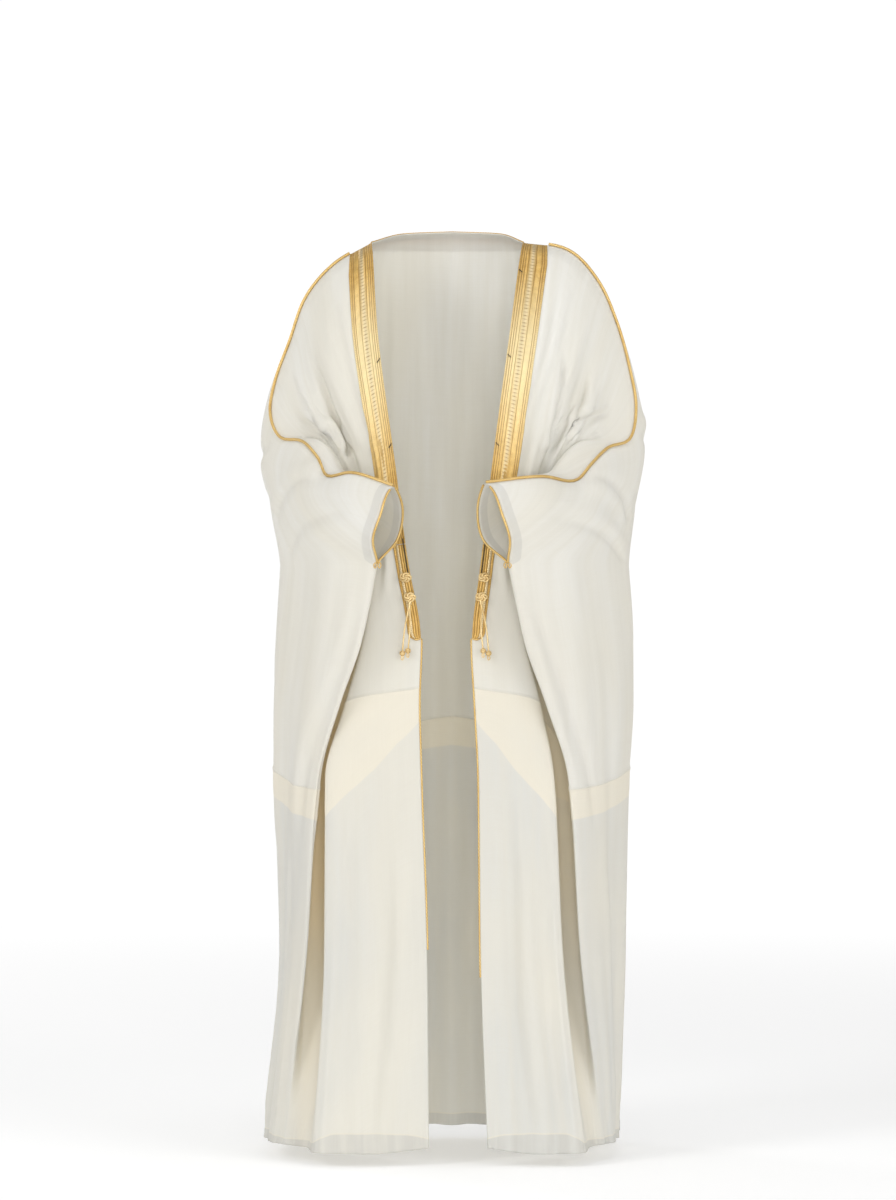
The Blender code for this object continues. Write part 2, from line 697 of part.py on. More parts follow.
def add_tassel(cloth, side, material, group):
    """Upper knot, and a lower knot with its two beaded hanging cords in one body."""
    sign = SIDES[side]
    for name, height in zip((f"knot_{side}", f"tassel_{side}"), KNOT_HEIGHTS):
        place, way = tail_place(cloth, side, height - NAPE_Z)
        centre = place + way * (KNOT_RADIUS * KNOT_FLAT + SEAM_GAP)
        radii = (KNOT_RADIUS, KNOT_RADIUS * KNOT_FLAT, KNOT_RADIUS * 0.9)
        ball = add_ball(name, centre, radii, material, group)
        if name.startswith("knot"):
            continue
        extra = []
        for k, (reach, drop) in enumerate(STRANDS):
            front = np.array([0.0, -STRAND_FRONT, 0.0])
            start = centre + np.array([sign * reach * 0.2, 0.0, -KNOT_RADIUS * 0.3])
            foot = centre + front + np.array([sign * reach, 0.0, -drop])
            bead = foot + np.array([0.0, 0.0, BEAD_RADIUS * 0.6])
            extra.append(strand_mesh(f"strand_{side}_{k}", start, foot + [0, 0, BEAD_RADIUS],
                                     STRAND_RADIUS, material, group))
            extra.append(add_ball(f"bead_{side}_{k}", bead,
                                  (BEAD_RADIUS, BEAD_RADIUS, BEAD_RADIUS * 1.25),
                                  material, group, 10, 7))
            end = bead + np.array([0.0, 0.0, -STRAND_END])
            extra.append(strand_mesh(f"end_{side}_{k}", bead, end, STRAND_RADIUS * 1.2,
                                     material, group))
        fuse(ball, extra)


def build():
    for item in list(bpy.data.objects):
        bpy.data.objects.remove(item, do_unlink=True)
    group = bpy.data.collections.new("bisht_cloak")
    bpy.context.scene.collection.children.link(group)
    cream = make_material("cream_cloth", (0.86, 0.81, 0.71), 0.85, 0.0)
    zari = make_material("gold_zari", (0.78, 0.55, 0.20), 0.45, 0.5)
    gold = make_material("gold_cord", (0.80, 0.52, 0.18), 0.5, 0.4)

    cloth = Cloth()
    nape = cloth.points[cloth.index[("both", "back", len(cloth.back) - 1, 0)]].copy()
    cloth.points = cloth.points - nape
    edges = edge_table(cloth.faces)
    for name in sorted({who for who, _ in cloth.faces}):
        points, polys = shell(cloth, cloth.faces, edges, name, -CLOTH_WALL / 2, CLOTH_WALL / 2)
        add_mesh(name, points, polys, cream, group)
    edges = edge_table(cloth.trims)
    low = CLOTH_WALL / 2 + SEAM_GAP
    for name in sorted({who for who, _ in cloth.trims}):
        points, polys = shell(cloth, cloth.trims, edges, name, low, low + BAND_THICK)
        add_mesh(name, points, polys, zari, group)
    for side in SIDES:
        add_cord(f"shoulder_cord_{side}", seam_cord_line(cloth, side), CORD_RADIUS, gold, group)
        add_cord(f"cuff_cord_{side}", cuff_cord_line(cloth, side), CORD_RADIUS * 0.8, gold, group)
        line = rim_line(cloth, side, "front", 0, TAIL_END_ROW, EDGE_CORD_END_ROW[side],
                        FINE_CORD_RADIUS, 1)
        line[0] = line[0] + (line[1] - line[0]) * 0.1
        add_cord(f"front_edge_cord_{side}", line, FINE_CORD_RADIUS, gold, group)
    for side in SIDES:
        add_tassel(cloth, side, gold, group)


build()
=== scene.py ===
"""Worn bisht cloak: fine sheer cloth, gold zari bands, gold cords and tassels.

The same named sizes and section tables as the solids give the cloth surface, in
metres. Across, c runs 0 front edge, 1 side fold, 2 centre back. Down, r runs
0 top seam, 1 foot of the cuff, 2 tuck seam, 3 hem.
"""
import json
import math

import bpy
import numpy as np
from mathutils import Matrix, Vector

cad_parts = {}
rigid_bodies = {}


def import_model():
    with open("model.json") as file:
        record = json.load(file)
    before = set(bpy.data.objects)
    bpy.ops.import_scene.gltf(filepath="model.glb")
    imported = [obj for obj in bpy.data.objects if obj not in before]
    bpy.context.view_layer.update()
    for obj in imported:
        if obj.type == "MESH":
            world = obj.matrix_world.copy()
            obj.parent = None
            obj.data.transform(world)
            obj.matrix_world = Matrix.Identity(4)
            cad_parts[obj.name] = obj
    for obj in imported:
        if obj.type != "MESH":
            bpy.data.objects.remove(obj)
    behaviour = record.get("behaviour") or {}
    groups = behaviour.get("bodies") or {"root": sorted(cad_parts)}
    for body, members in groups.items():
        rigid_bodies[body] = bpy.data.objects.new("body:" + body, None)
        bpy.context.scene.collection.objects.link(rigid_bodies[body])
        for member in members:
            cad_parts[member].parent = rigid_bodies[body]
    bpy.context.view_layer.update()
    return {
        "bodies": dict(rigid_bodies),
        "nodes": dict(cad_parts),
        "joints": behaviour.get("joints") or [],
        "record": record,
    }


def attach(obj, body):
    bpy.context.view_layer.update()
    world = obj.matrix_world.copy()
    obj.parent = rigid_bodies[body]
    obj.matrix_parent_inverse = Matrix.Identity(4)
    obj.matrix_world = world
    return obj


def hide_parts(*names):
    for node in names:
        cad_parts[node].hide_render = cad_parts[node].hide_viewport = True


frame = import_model()

# Sizes of the garment
NAPE = np.array([0.0, 0.085, 1.492])
CUFF_FOOT_Z = 0.940
BELOW_FOOT_Z = 0.880
CLOTH_WALL = 0.0010
BAND_WIDTH = 0.046
TAIL_WIDTH = 0.021
CORD_RADIUS = 0.0025
FINE_CORD_RADIUS = 0.0015
KNOT_RADIUS = 0.0090
BEAD_RADIUS = 0.0042
KNOT_HEIGHTS = (0.922, 0.890)
BROW_ACROSS = 0.30
BROW_DOWN = 0.10
NECK_AT = 0.58

NECK_BAND_WIDTH = 0.040
EDGE_CORD_END = {"right": 2.57, "left": 2.63}
# Hanging cords: outward reach, drop, lean in the middle
STRANDS = ((0.003, 0.086, -0.002), (0.012, 0.090, 0.002))

SIDES = {"right": -1.0, "left": 1.0}

# Top seam from neck to cuff: w, outward x, depth y, height z
SEAM_RIGHT = (
    (0.00, 0.131, 0.000, 1.469),
    (0.12, 0.193, 0.002, 1.432),
    (0.25, 0.237, 0.002, 1.380),
    (0.40, 0.264, 0.000, 1.307),
    (0.55, 0.287, -0.005, 1.243),
    (0.66, 0.295, -0.020, 1.190),
    (0.74, 0.279, -0.050, 1.149),
    (0.80, 0.240, -0.100, 1.139),
    (0.85, 0.218, -0.130, 1.114),
    (0.89, 0.203, -0.160, 1.084),
    (0.94, 0.158, -0.212, 1.087),
    (1.00, 0.094, -0.250, 1.066),
)
SEAM_LEFT = (
    (0.00, 0.116, 0.000, 1.469),
    (0.12, 0.190, 0.002, 1.455),
    (0.25, 0.236, 0.002, 1.408),
    (0.40, 0.268, 0.000, 1.338),
    (0.55, 0.289, -0.005, 1.262),
    (0.66, 0.299, -0.015, 1.198),
    (0.74, 0.288, -0.040, 1.146),
    (0.80, 0.252, -0.080, 1.130),
    (0.85, 0.226, -0.115, 1.104),
    (0.89, 0.200, -0.150, 1.076),
    (0.94, 0.142, -0.212, 1.081),
    (1.00, 0.054, -0.255, 1.071),
)
NECKLINE = ((0.0, 0.000, 1.469), (0.078, 0.062, 1.487), (0.0, 0.085, 1.492))

# Threads under the top seam: c, two guide points, inward shift of the left side
FRONT_THREADS = (
    (0.00, 0.119, -0.098, 1.310, 0.092, -0.130, 1.110, 0.027),
    (0.25, 0.188, -0.092, 1.290, 0.116, -0.126, 1.100, 0.018),
    (0.50, 0.218, -0.080, 1.205, 0.144, -0.108, 1.075, 0.012),
    (0.68, 0.204, -0.089, 1.142, 0.156, -0.086, 1.030, 0.010),
    (0.85, 0.196, -0.118, 1.124, 0.174, -0.100, 1.030, 0.008),
    (0.94, 0.144, -0.186, 1.082, 0.134, -0.160, 1.010, 0.026),
    (1.00, 0.080, -0.218, 1.030, 0.088, -0.208, 0.985, 0.038),
)
BACK_THREADS = (
    (1.00, 0.116, -0.262, 1.020, 0.127, -0.256, 0.985, 0.034),
    (1.07, 0.180, -0.222, 1.045, 0.182, -0.222, 0.990, 0.020),
    (1.15, 0.244, -0.150, 1.070, 0.240, -0.160, 1.000, 0.008),
    (1.30, 0.311, 0.000, 1.140, 0.294, -0.004, 1.030, -0.004),
    (1.42, 0.292, 0.062, 1.220, 0.284, 0.080, 1.060, -0.004),
    (1.50, 0.238, 0.095, 1.310, 0.258, 0.122, 1.100, 0.000),
    (1.58, 0.168, 0.104, 1.370, 0.198, 0.138, 1.120, 0.000),
    (1.79, 0.088, 0.126, 1.370, 0.098, 0.146, 1.120, 0.000),
    (2.00, 0.000, 0.134, 1.370, 0.000, 0.148, 1.120, 0.000),
)
B_OF_TOP = (0.00, 0.15, 0.30, 0.42, 0.50, NECK_AT)
W_OF_TOP = (1.00, 0.85, 0.68, 0.40, 0.20, 0.00)

# Level sections under the cuff: height, then (x, y) at each station
STATION_C = (0.0, 0.50, 0.68, 0.85, 1.0, 1.15, 1.30, 1.50, 2.0)
STATION_SOFT = (1.0, 0.45, 0.9, 0.9, 0.45, 1.0, 1.0, 1.0, 1.0)
RING_RIGHT = (
    (0.94, (.069, -.150), (.124, -.138), (.142, -.096), (.180, -.096), (.121, -.222),
     (.222, -.172), (.277, -.005), (.240, .122), (.0, .150)),
    (0.82, (.050, -.153), (.142, -.148), (.157, -.096), (.198, -.094), (.144, -.202),
     (.232, -.152), (.285, .000), (.245, .128), (.0, .155)),
    (0.72, (.053, -.156), (.170, -.154), (.172, -.100), (.216, -.092), (.179, -.182),
     (.244, -.136), (.290, .000), (.250, .133), (.0, .160)),
    (0.60, (.050, -.160), (.202, -.162), (.190, -.100), (.230, -.088), (.214, -.156),
     (.257, -.112), (.292, .000), (.252, .140), (.0, .165)),
    (0.31, (.040, -.172), (.204, -.180), (.196, -.122), (.234, -.104), (.236, -.150),
     (.266, -.094), (.281, .005), (.246, .152), (.0, .182)),
    (0.00, (.037, -.185), (.222, -.194), (.232, -.158), (.252, -.134), (.272, -.112),
     (.297, -.062), (.307, .012), (.262, .166), (.0, .200)),
)
RING_LEFT = (
    (0.94, (.045, -.150), (.104, -.138), (.124, -.096), (.166, -.096), (.091, -.226),
     (.214, -.176), (.287, -.005), (.245, .122), (.0, .150)),
    (0.82, (.032, -.153), (.116, -.148), (.134, -.096), (.182, -.094), (.117, -.206),
     (.226, -.156), (.294, .000), (.250, .128), (.0, .155)),
    (0.72, (.037, -.156), (.140, -.154), (.144, -.098), (.196, -.092), (.152, -.186),
     (.238, -.138), (.294, .000), (.252, .133), (.0, .160)),
    (0.60, (.043, -.160), (.162, -.162), (.154, -.098), (.204, -.088), (.188, -.158),
     (.246, -.114), (.288, .000), (.252, .140), (.0, .165)),
    (0.31, (.046, -.172), (.177, -.180), (.170, -.122), (.206, -.104), (.208, -.152),
     (.254, -.098), (.285, .005), (.246, .152), (.0, .182)),
    (0.00, (.057, -.185), (.212, -.194), (.220, -.158), (.230, -.134), (.246, -.112),
     (.264, -.066), (.272, .012), (.244, .166), (.0, .200)),
)
SEAM_HEIGHT_C = (0.0, 0.5, 0.68, 0.85, 1.0, 1.15, 1.3, 1.5, 2.0)
SEAM_HEIGHT_Z = (.745, .722, .690, .630, .582, .590, .613, .640, .690)
HEM_HEIGHT_C = (0.0, 0.2, 0.5, 0.7, 1.0, 1.3, 2.0)
HEM_HEIGHT_Z = (.008, .000, .002, .006, .006, .004, .000)

# Folds: side, column at the top and at the foot, r at both, half width, lift
FOLDS = (
    ("both", 1.93, 1.94, 0.45, 3.6, 0.075, 0.017),
    ("both", 1.80, 1.82, 0.60, 3.6, 0.065, -0.014),
    ("right", 1.69, 1.71, 0.50, 3.6, 0.065, 0.016),
    ("left", 1.70, 1.69, 0.70, 3.6, 0.065, 0.013),
    ("both", 1.58, 1.59, 0.90, 3.6, 0.060, -0.012),
    ("right", 1.46, 1.48, 1.00, 3.6, 0.060, 0.013),
    ("left", 1.47, 1.47, 1.20, 3.6, 0.060, 0.015),
    ("both", 1.36, 1.38, 1.50, 3.6, 0.050, -0.010),
    ("right", 1.21, 1.23, 1.40, 3.6, 0.060, -0.008),
    ("left", 1.20, 1.22, 1.80, 3.6, 0.060, -0.009),
    ("both", 0.22, 0.25, 1.90, 3.6, 0.120, 0.006),
    ("right", 0.40, 0.56, 0.12, 0.70, 0.085, -0.012),
    ("left", 0.42, 0.58, 0.12, 0.70, 0.085, -0.012),
    ("both", 0.20, 0.30, 0.10, 1.30, 0.080, 0.006),
)
# Finer creases, laid as the folds are
CREASES = (
    ("right", 0.13, 0.20, 0.02, 0.60, 0.040, 0.0035),
    ("right", 0.21, 0.28, 0.04, 0.70, 0.034, -0.0040),
    ("right", 0.29, 0.37, 0.02, 0.60, 0.040, 0.0045),
    ("right", 0.52, 0.60, 0.06, 0.50, 0.035, 0.0045),
    ("right", 0.62, 0.66, 0.10, 0.45, 0.026, -0.0040),
    ("left", 0.14, 0.18, 0.02, 0.70, 0.036, 0.0038),
    ("left", 0.22, 0.30, 0.03, 0.60, 0.036, -0.0038),
    ("left", 0.33, 0.39, 0.02, 0.65, 0.040, 0.0045),
    ("left", 0.53, 0.62, 0.06, 0.55, 0.032, 0.0042),
    ("left", 0.64, 0.67, 0.10, 0.45, 0.024, -0.0038),
    ("right", 1.05, 1.04, 0.75, 2.10, 0.030, -0.0030),
    ("right", 1.11, 1.12, 0.40, 2.30, 0.036, 0.0040),
    ("right", 1.17, 1.18, 0.55, 2.60, 0.030, -0.0035),
    ("right", 1.26, 1.25, 0.30, 2.20, 0.034, 0.0045),
    ("right", 1.33, 1.31, 0.80, 2.90, 0.028, -0.0035),
    ("left", 1.06, 1.05, 0.60, 2.20, 0.028, -0.0030),
    ("left", 1.12, 1.10, 0.45, 2.10, 0.034, 0.0042),
    ("left", 1.18, 1.17, 0.70, 2.70, 0.030, -0.0032),
    ("left", 1.27, 1.28, 0.35, 2.40, 0.036, 0.0042),
    ("left", 1.34, 1.33, 0.90, 2.90, 0.028, -0.0032),
    ("right", 1.41, 1.43, 0.40, 3.60, 0.037, 0.0081),
    ("left", 1.42, 1.42, 0.60, 3.60, 0.037, 0.0072),
    ("right", 1.52, 1.53, 0.30, 3.60, 0.037, 0.0081),
    ("left", 1.53, 1.54, 0.50, 3.60, 0.035, -0.0072),
    ("right", 1.63, 1.65, 0.40, 3.60, 0.033, -0.0072),
    ("left", 1.64, 1.64, 0.40, 3.60, 0.037, 0.0081),
    ("right", 1.75, 1.76, 0.50, 3.60, 0.037, 0.0081),
    ("left", 1.76, 1.77, 0.80, 3.60, 0.035, -0.0081),
    ("right", 1.86, 1.88, 0.60, 3.60, 0.033, -0.0081),
    ("left", 1.87, 1.87, 0.50, 3.60, 0.033, 0.0063),
    ("right", 0.10, 0.13, 2.05, 3.60, 0.050, -0.0030),
    ("right", 0.30, 0.34, 2.10, 3.60, 0.050, -0.0040),
    ("right", 0.42, 0.43, 2.30, 3.60, 0.040, 0.0030),
    ("left", 0.12, 0.12, 2.20, 3.60, 0.050, -0.0030),
    ("left", 0.28, 0.35, 2.05, 3.60, 0.060, -0.0042),
    ("left", 0.43, 0.42, 2.20, 3.60, 0.040, 0.0030),
    ("right", 1.08, 1.10, 2.00, 3.60, 0.040, 0.0040),
    ("left", 1.09, 1.10, 2.10, 3.60, 0.040, 0.0040),
    ("right", 1.66, 1.64, 0.04, 2.30, 0.050, 0.0060),
    ("right", 1.78, 1.74, 0.06, 1.90, 0.044, -0.0055),
    ("right", 1.90, 1.86, 0.05, 2.60, 0.048, 0.0062),
    ("left", 1.61, 1.60, 0.05, 1.80, 0.046, -0.0050),
    ("left", 1.71, 1.68, 0.03, 2.50, 0.050, 0.0064),
    ("left", 1.83, 1.80, 0.08, 2.10, 0.042, -0.0055),
    ("left", 1.93, 1.90, 0.05, 2.40, 0.044, 0.0050),
    ("right", 1.36, 1.34, 0.10, 1.90, 0.040, 0.0055),
    ("left", 1.37, 1.36, 0.12, 2.00, 0.038, 0.0055),
)

# Sharper creases: side, sheet, path of (c, r), half width, depth, side that stands proud
CREASE_LINES = (
    ("right", "front", ((.33, .08), (.40, .21), (.43, .33), (.47, .42), (.51, .49), (.57, .53)),
     .0075, .0080, 1.0),
    ("right", "front", ((.62, .10), (.67, .19), (.67, .30), (.62, .42), (.60, .49)),
     .0085, .0070, -1.0),
    ("right", "front", ((.16, .06), (.19, .25), (.23, .45), (.27, .62)), .0140, .0040, 1.0),
    ("right", "front", ((.50, .05), (.55, .14), (.58, .24)), .0120, .0035, -1.0),
    ("left", "front", ((.27, .27), (.33, .35), (.40, .44), (.46, .50), (.51, .54)),
     .0070, .0080, 1.0),
    ("left", "front", ((.44, .20), (.52, .30), (.57, .38), (.60, .44)), .0075, .0075, -1.0),
    ("left", "front", ((.66, .12), (.65, .20), (.62, .30), (.59, .38)), .0085, .0060, 1.0),
    ("left", "front", ((.75, .16), (.72, .20), (.70, .24)), .0070, .0030, 1.0),
    ("left", "front", ((.33, .58), (.36, .66), (.37, .74)), .0070, .0030, -1.0),
    ("left", "front", ((.13, .05), (.17, .24), (.22, .44), (.26, .60)), .0140, .0040, 1.0),
    ("right", "back", ((1.10, .10), (1.15, .25), (1.20, .45), (1.26, .70)), .0150, .0050, 1.0),
    ("right", "back", ((1.04, .35), (1.10, .50), (1.17, .72), (1.22, .95)), .0140, .0040, -1.0),
    ("right", "back", ((1.25, .06), (1.28, .18), (1.33, .40), (1.36, .62)), .0160, .0050, -1.0),
    ("left", "back", ((1.12, .08), (1.16, .22), (1.22, .46), (1.25, .66)), .0150, .0048, 1.0),
    ("left", "back", ((1.05, .40), (1.12, .58), (1.20, .80), (1.26, .98)), .0140, .0040, -1.0),
    ("left", "back", ((1.27, .05), (1.31, .20), (1.34, .38), (1.39, .66)), .0160, .0050, -1.0),
    ("right", "back", ((1.60, .10), (1.66, .30), (1.70, .55), (1.73, .80)), .0180, .0060, 1.0),
    ("left", "back", ((1.62, .12), (1.69, .34), (1.74, .62), (1.76, .86)), .0180, .0055, -1.0),
    ("right", "back", ((1.48, .08), (1.54, .26), (1.58, .48), (1.62, .74)), .0160, .0050, -1.0),
    ("left", "back", ((1.47, .06), (1.52, .22), (1.57, .45), (1.60, .70)), .0160, .0050, 1.0),
    ("right", "low", ((1.02, 1.05), (1.05, 1.40), (1.07, 1.80), (1.09, 2.20)), .0130, .0035, 1.0),
    ("left", "low", ((1.03, 1.02), (1.06, 1.35), (1.07, 1.75), (1.10, 2.15)), .0130, .0035, 1.0),
    ("right", "low", ((.12, 2.30), (.13, 2.55), (.16, 2.80), (.19, 3.00)), .0150, .0030, 1.0),
    ("left", "low", ((.16, 2.10), (.18, 2.40), (.17, 2.70), (.21, 3.00)), .0150, .0032, -1.0),
    ("right", "low", ((.34, 2.05), (.33, 2.35), (.35, 2.65), (.38, 2.95)), .0140, .0030, -1.0),
    ("left", "low", ((.36, 2.20), (.37, 2.45), (.35, 2.75), (.34, 3.00)), .0140, .0034, 1.0),
    ("right", "low", ((1.14, 2.05), (1.15, 2.35), (1.19, 2.70), (1.22, 3.00)), .0150, .0045, 1.0),
    ("left", "low", ((1.15, 2.05), (1.18, 2.40), (1.18, 2.75), (1.24, 3.00)), .0150, .0045, 1.0),
    ("right", "low", ((1.28, 2.10), (1.29, 2.50), (1.33, 3.00)), .0160, .0045, -1.0),
    ("left", "low", ((1.30, 2.05), (1.31, 2.55), (1.30, 3.00)), .0160, .0045, -1.0),
)

# Doubled cloth under the tuck seam: column, depth
LOWER_DEPTH = 0.70
TUCK_LAYER_C = (0.00, 0.12, 0.21, 0.29, 0.41, 0.50, 0.70, 1.00, 1.30, 2.00)
TUCK_LAYER_DEPTH = (0.052, 0.082, 0.117, 0.140, 0.167, 0.180, 0.120, 0.060, 0.050, 0.050)
# Doubled hem: column, depth
HEM_BAND_C = (0.00, 0.08, 0.20, 0.38, 0.50, 0.60, 1.00, 1.20, 2.00)
HEM_BAND_DEPTH = (0.016, 0.026, 0.033, 0.032, 0.018, 0.014, 0.014, 0.020, 0.022)
# Painted warm shade in the valley between front panel and sleeve fold, standing for its shadow and
# the glow of light through its layered sheer cloth: column, amount
VALLEY_C = (0.00, 0.48, 0.54, 0.62, 0.80, 0.92, 1.00, 2.00)
VALLEY_SHADE = (0.00, 0.00, 0.55, 1.00, 1.00, 0.50, 0.00, 0.00)
# The same down its length: row, amount on the wearer's right and on the left
VALLEY_R = (0.80, 1.30, 2.00, 2.35, 2.60, 3.00)
VALLEY_DEEP = (0.00, 0.30, 1.00, 1.00, 0.45, 0.15)
VALLEY_PALE = (0.00, 0.10, 0.40, 0.45, 0.25, 0.10)

# Band relief: distance from the front edge in mm, height in mm
BAND_BASE = 0.0008
BAND_PROFILE = ((0.0, 0.35), (0.6, 0.90), (1.3, 1.05), (2.0, 0.80), (2.6, 0.12), (3.7, 0.05),
                (4.2, 0.50), (5.1, 0.70), (6.0, 0.50), (6.4, 0.08), (7.4, 0.05), (7.9, 0.45),
                (8.8, 0.62), (9.6, 0.45), (10.0, 0.08), (10.9, 0.08), (11.3, 0.32),
                (14.6, 0.34), (15.0, 0.06), (15.7, 0.06), (16.0, 0.55), (27.4, 0.55),
                (27.7, 0.06), (28.4, 0.06), (28.8, 0.34), (32.8, 0.42), (37.0, 0.34),
                (37.4, 0.06), (38.3, 0.06), (38.7, 0.55), (39.6, 0.65), (40.5, 0.50),
                (40.9, 0.06), (41.7, 0.06), (42.2, 0.55), (43.6, 0.95), (45.0, 0.80),
                (46.0, 0.20))
LATTICE = (16.6, 26.8)
LATTICE_PITCH = 6.2
GRAIN_WIDTH = 4.2
GRAIN_PITCH = 2.6
# Tail relief: distance from the front edge in mm, height in mm
TAIL_PROFILE = ((0.0, 0.35), (0.7, 0.95), (1.5, 1.10), (2.3, 0.80), (2.9, 0.10), (3.9, 0.05),
                (4.4, 0.60), (5.6, 0.90), (6.8, 0.60), (7.3, 0.08), (8.2, 0.08), (8.7, 0.60),
                (9.9, 0.90), (11.1, 0.60), (11.6, 0.08), (12.3, 0.08), (12.7, 0.50),
                (16.2, 0.50), (16.6, 0.08), (17.4, 0.08), (17.9, 0.60), (19.2, 0.95),
                (20.3, 0.75), (21.0, 0.20))
TAIL_LATTICE = (12.6, 16.3)
# Start of the cloth's streaks on each front, so that the two sides differ, in metres
FRONT_OFFSET = {"right": 5.0, "left": 9.0}
# Rounded foot of the tail: row, share of its width
TAIL_END_R = (0.90, 1.540, 1.570, 1.588, 1.600)
TAIL_END_SHARE = (1.00, 1.00, 0.88, 0.70, 0.48)
# Dark tacking stitches on the inner edge of the band: side, row
TACKS = (("right", 0.405), ("right", 0.650), ("left", 0.135), ("left", 0.395), ("left", 0.650))

# Width of the wide band down its length: row, width
WIDE_END = 0.935
WIDE_BAND_R = (0.00, 0.10, 0.70, 0.80, 0.90, 0.935)
WIDE_BAND_W = (0.040, 0.046, 0.046, 0.044, 0.040, 0.036)

# Colours, linear
CREAM_LIGHT = (0.920, 0.915, 0.885)
CREAM_MID = (0.880, 0.872, 0.830)
CREAM_LOW = (0.806, 0.806, 0.778)
CREAM_STREAK = (0.842, 0.824, 0.762)
CREAM_PATCH = (0.888, 0.866, 0.792)
CREAM_THREAD = (0.760, 0.715, 0.620)
CREAM_DOUBLED = (0.930, 0.890, 0.785)
# Painted warm shade and glow of light through the layered cloth in the valley fold
OCHRE_VALLEY_PAINTED_SHADE = (0.985, 0.850, 0.590)
GREY_FACING = (0.640, 0.635, 0.610)
GOLD_SATIN = (0.700, 0.450, 0.125)
GOLD_WARM = (0.520, 0.300, 0.065)
# Colour of the painted highlights and glints on the gold
GOLD_GLINT = (1.000, 0.900, 0.560)
GOLD_LATTICE = (0.860, 0.750, 0.480)
GOLD_CORD = (0.790, 0.550, 0.200)
GOLD_KNOT = (1.000, 0.780, 0.400)
# Painted shade for the grooves of the bands and between cord strands
GOLD_PAINTED_SHADE = (0.260, 0.130, 0.035)

# Camera and light
FLOOR_Z = -1.512
FLOOR_RINGS = (0.01, 0.5, 1.0, 1.5, 2.0, 3.0, 4.0, 5.0, 6.0, 7.0, 8.0, 9.0)
WALL_REACH = 11.5
WALL_BEND = 1.6
WALL_TOP = 8.0
WALL_SIDES = 72
# Floor near the garment: grey of its paper, own light; far away it only glows
PAPER_NEAR = 0.80
PAPER_FAR = 0.0
GLOW_NEAR = 0.30
FAR_FROM = (1.5, 5.0)
# Far glow round the room: sine of the direction, +1 behind the garment, strength
GLOW_SIDE = (-1.0, 0.50, 0.92, 1.0)
GLOW_FAR = (0.80, 0.80, 1.02, 1.02)
CAMERA_PLACE = (-0.0065, -8.085, -0.542)
CAMERA_TILT = 0.469
CAMERA_LENS = 146.6
WORLD_STRENGTH = 0.33
# Lights: name, place, aim, size, power
LIGHTS = (
    ("key_light", (-3.6, -3.4, 1.8), (0.0, -0.1, -0.6), (1.6, 1.6), 68.0),
    ("fill_light", (3.4, -3.8, 0.4), (0.0, -0.1, -0.8), (2.6, 2.6), 60.0),
    ("front_light", (0.2, -6.0, -0.9), (0.0, -0.1, -0.9), (1.4, 1.4), 78.0),
    ("rear_light", (-3.6, 3.4, 1.4), (0.0, -0.1, -0.6), (1.4, 1.4), 34.0),
    ("top_light", (0.2, -0.6, 3.0), (0.0, -0.1, -0.6), (1.6, 1.6), 26.0),
)

# Coarse steps that the fine grid divides
FRONT_STEPS = (0, .03, .066, .14, .22, .31, .40, .46, .5, .54, .60, .66, .72, .77,
               .82, .87, .91, .945, .975, 1)
UPPER_ROWS = (0, .035, .075, .15, .24, .34, .44, .54, .64, .74, .84, .93, 1)
FINE_FRONT = 84
FINE_NECK = 52
FINE_UPPER = 80
FINE_MIDDLE = 26
FINE_LOWER = 72
TUCK_ROWS_OVER = np.array([1.976, 1.984, 1.990, 1.995, 2.0])
TUCK_ROWS_UNDER = np.array([2.0015, 2.003, 2.005, 2.009])
HEM_ROWS = np.array([2.9680, 2.9730, 2.9755, 2.9780, 2.9860, 2.9940, 3.0])


def unit(v):
    return v / np.maximum(np.linalg.norm(v, axis=-1, keepdims=True), 1e-12)


def hermite(k, v, leave, arrive, x):
    """Cubic pieces; v, leave and arrive are (K, D) or (n, K, D) for n places."""
    i = np.clip(np.searchsorted(k, x, side="right") - 1, 0, len(k) - 2)
    h = (k[i + 1] - k[i])[:, None]
    t = ((x - k[i]) / h[:, 0])[:, None]
    t2, t3 = t * t, t * t * t
    n = np.arange(len(x))
    if v.ndim == 2:
        a, b, la, ab = v[i], v[i + 1], leave[i], arrive[i + 1]
    else:
        a, b, la, ab = v[n, i], v[n, i + 1], leave[n, i], arrive[n, i + 1]
    return ((2 * t3 - 3 * t2 + 1) * a + (t3 - 2 * t2 + t) * h * la
            + (3 * t2 - 2 * t3) * b + (t3 - t2) * h * ab)


def pchip(knots, values, at):
    """Shape-keeping curve through rows of values at rising knots."""
    k = np.asarray(knots, float)
    v = np.asarray(values, float).reshape(len(k), -1)
    x = np.clip(np.atleast_1d(np.asarray(at, float)), k[0], k[-1])
    h = np.diff(k)[:, None]
    d = np.diff(v, axis=0) / h
    wa, wb = 2 * h[1:] + h[:-1], h[1:] + 2 * h[:-1]
    same = d[:-1] * d[1:] > 0
    a = np.where(same, d[:-1], 1.0)
    b = np.where(same, d[1:], 1.0)
    slope = np.concatenate([d[:1], np.where(same, (wa + wb) / (wa / a + wb / b), 0.0), d[-1:]])
    return hermite(k, v, slope, slope, x)


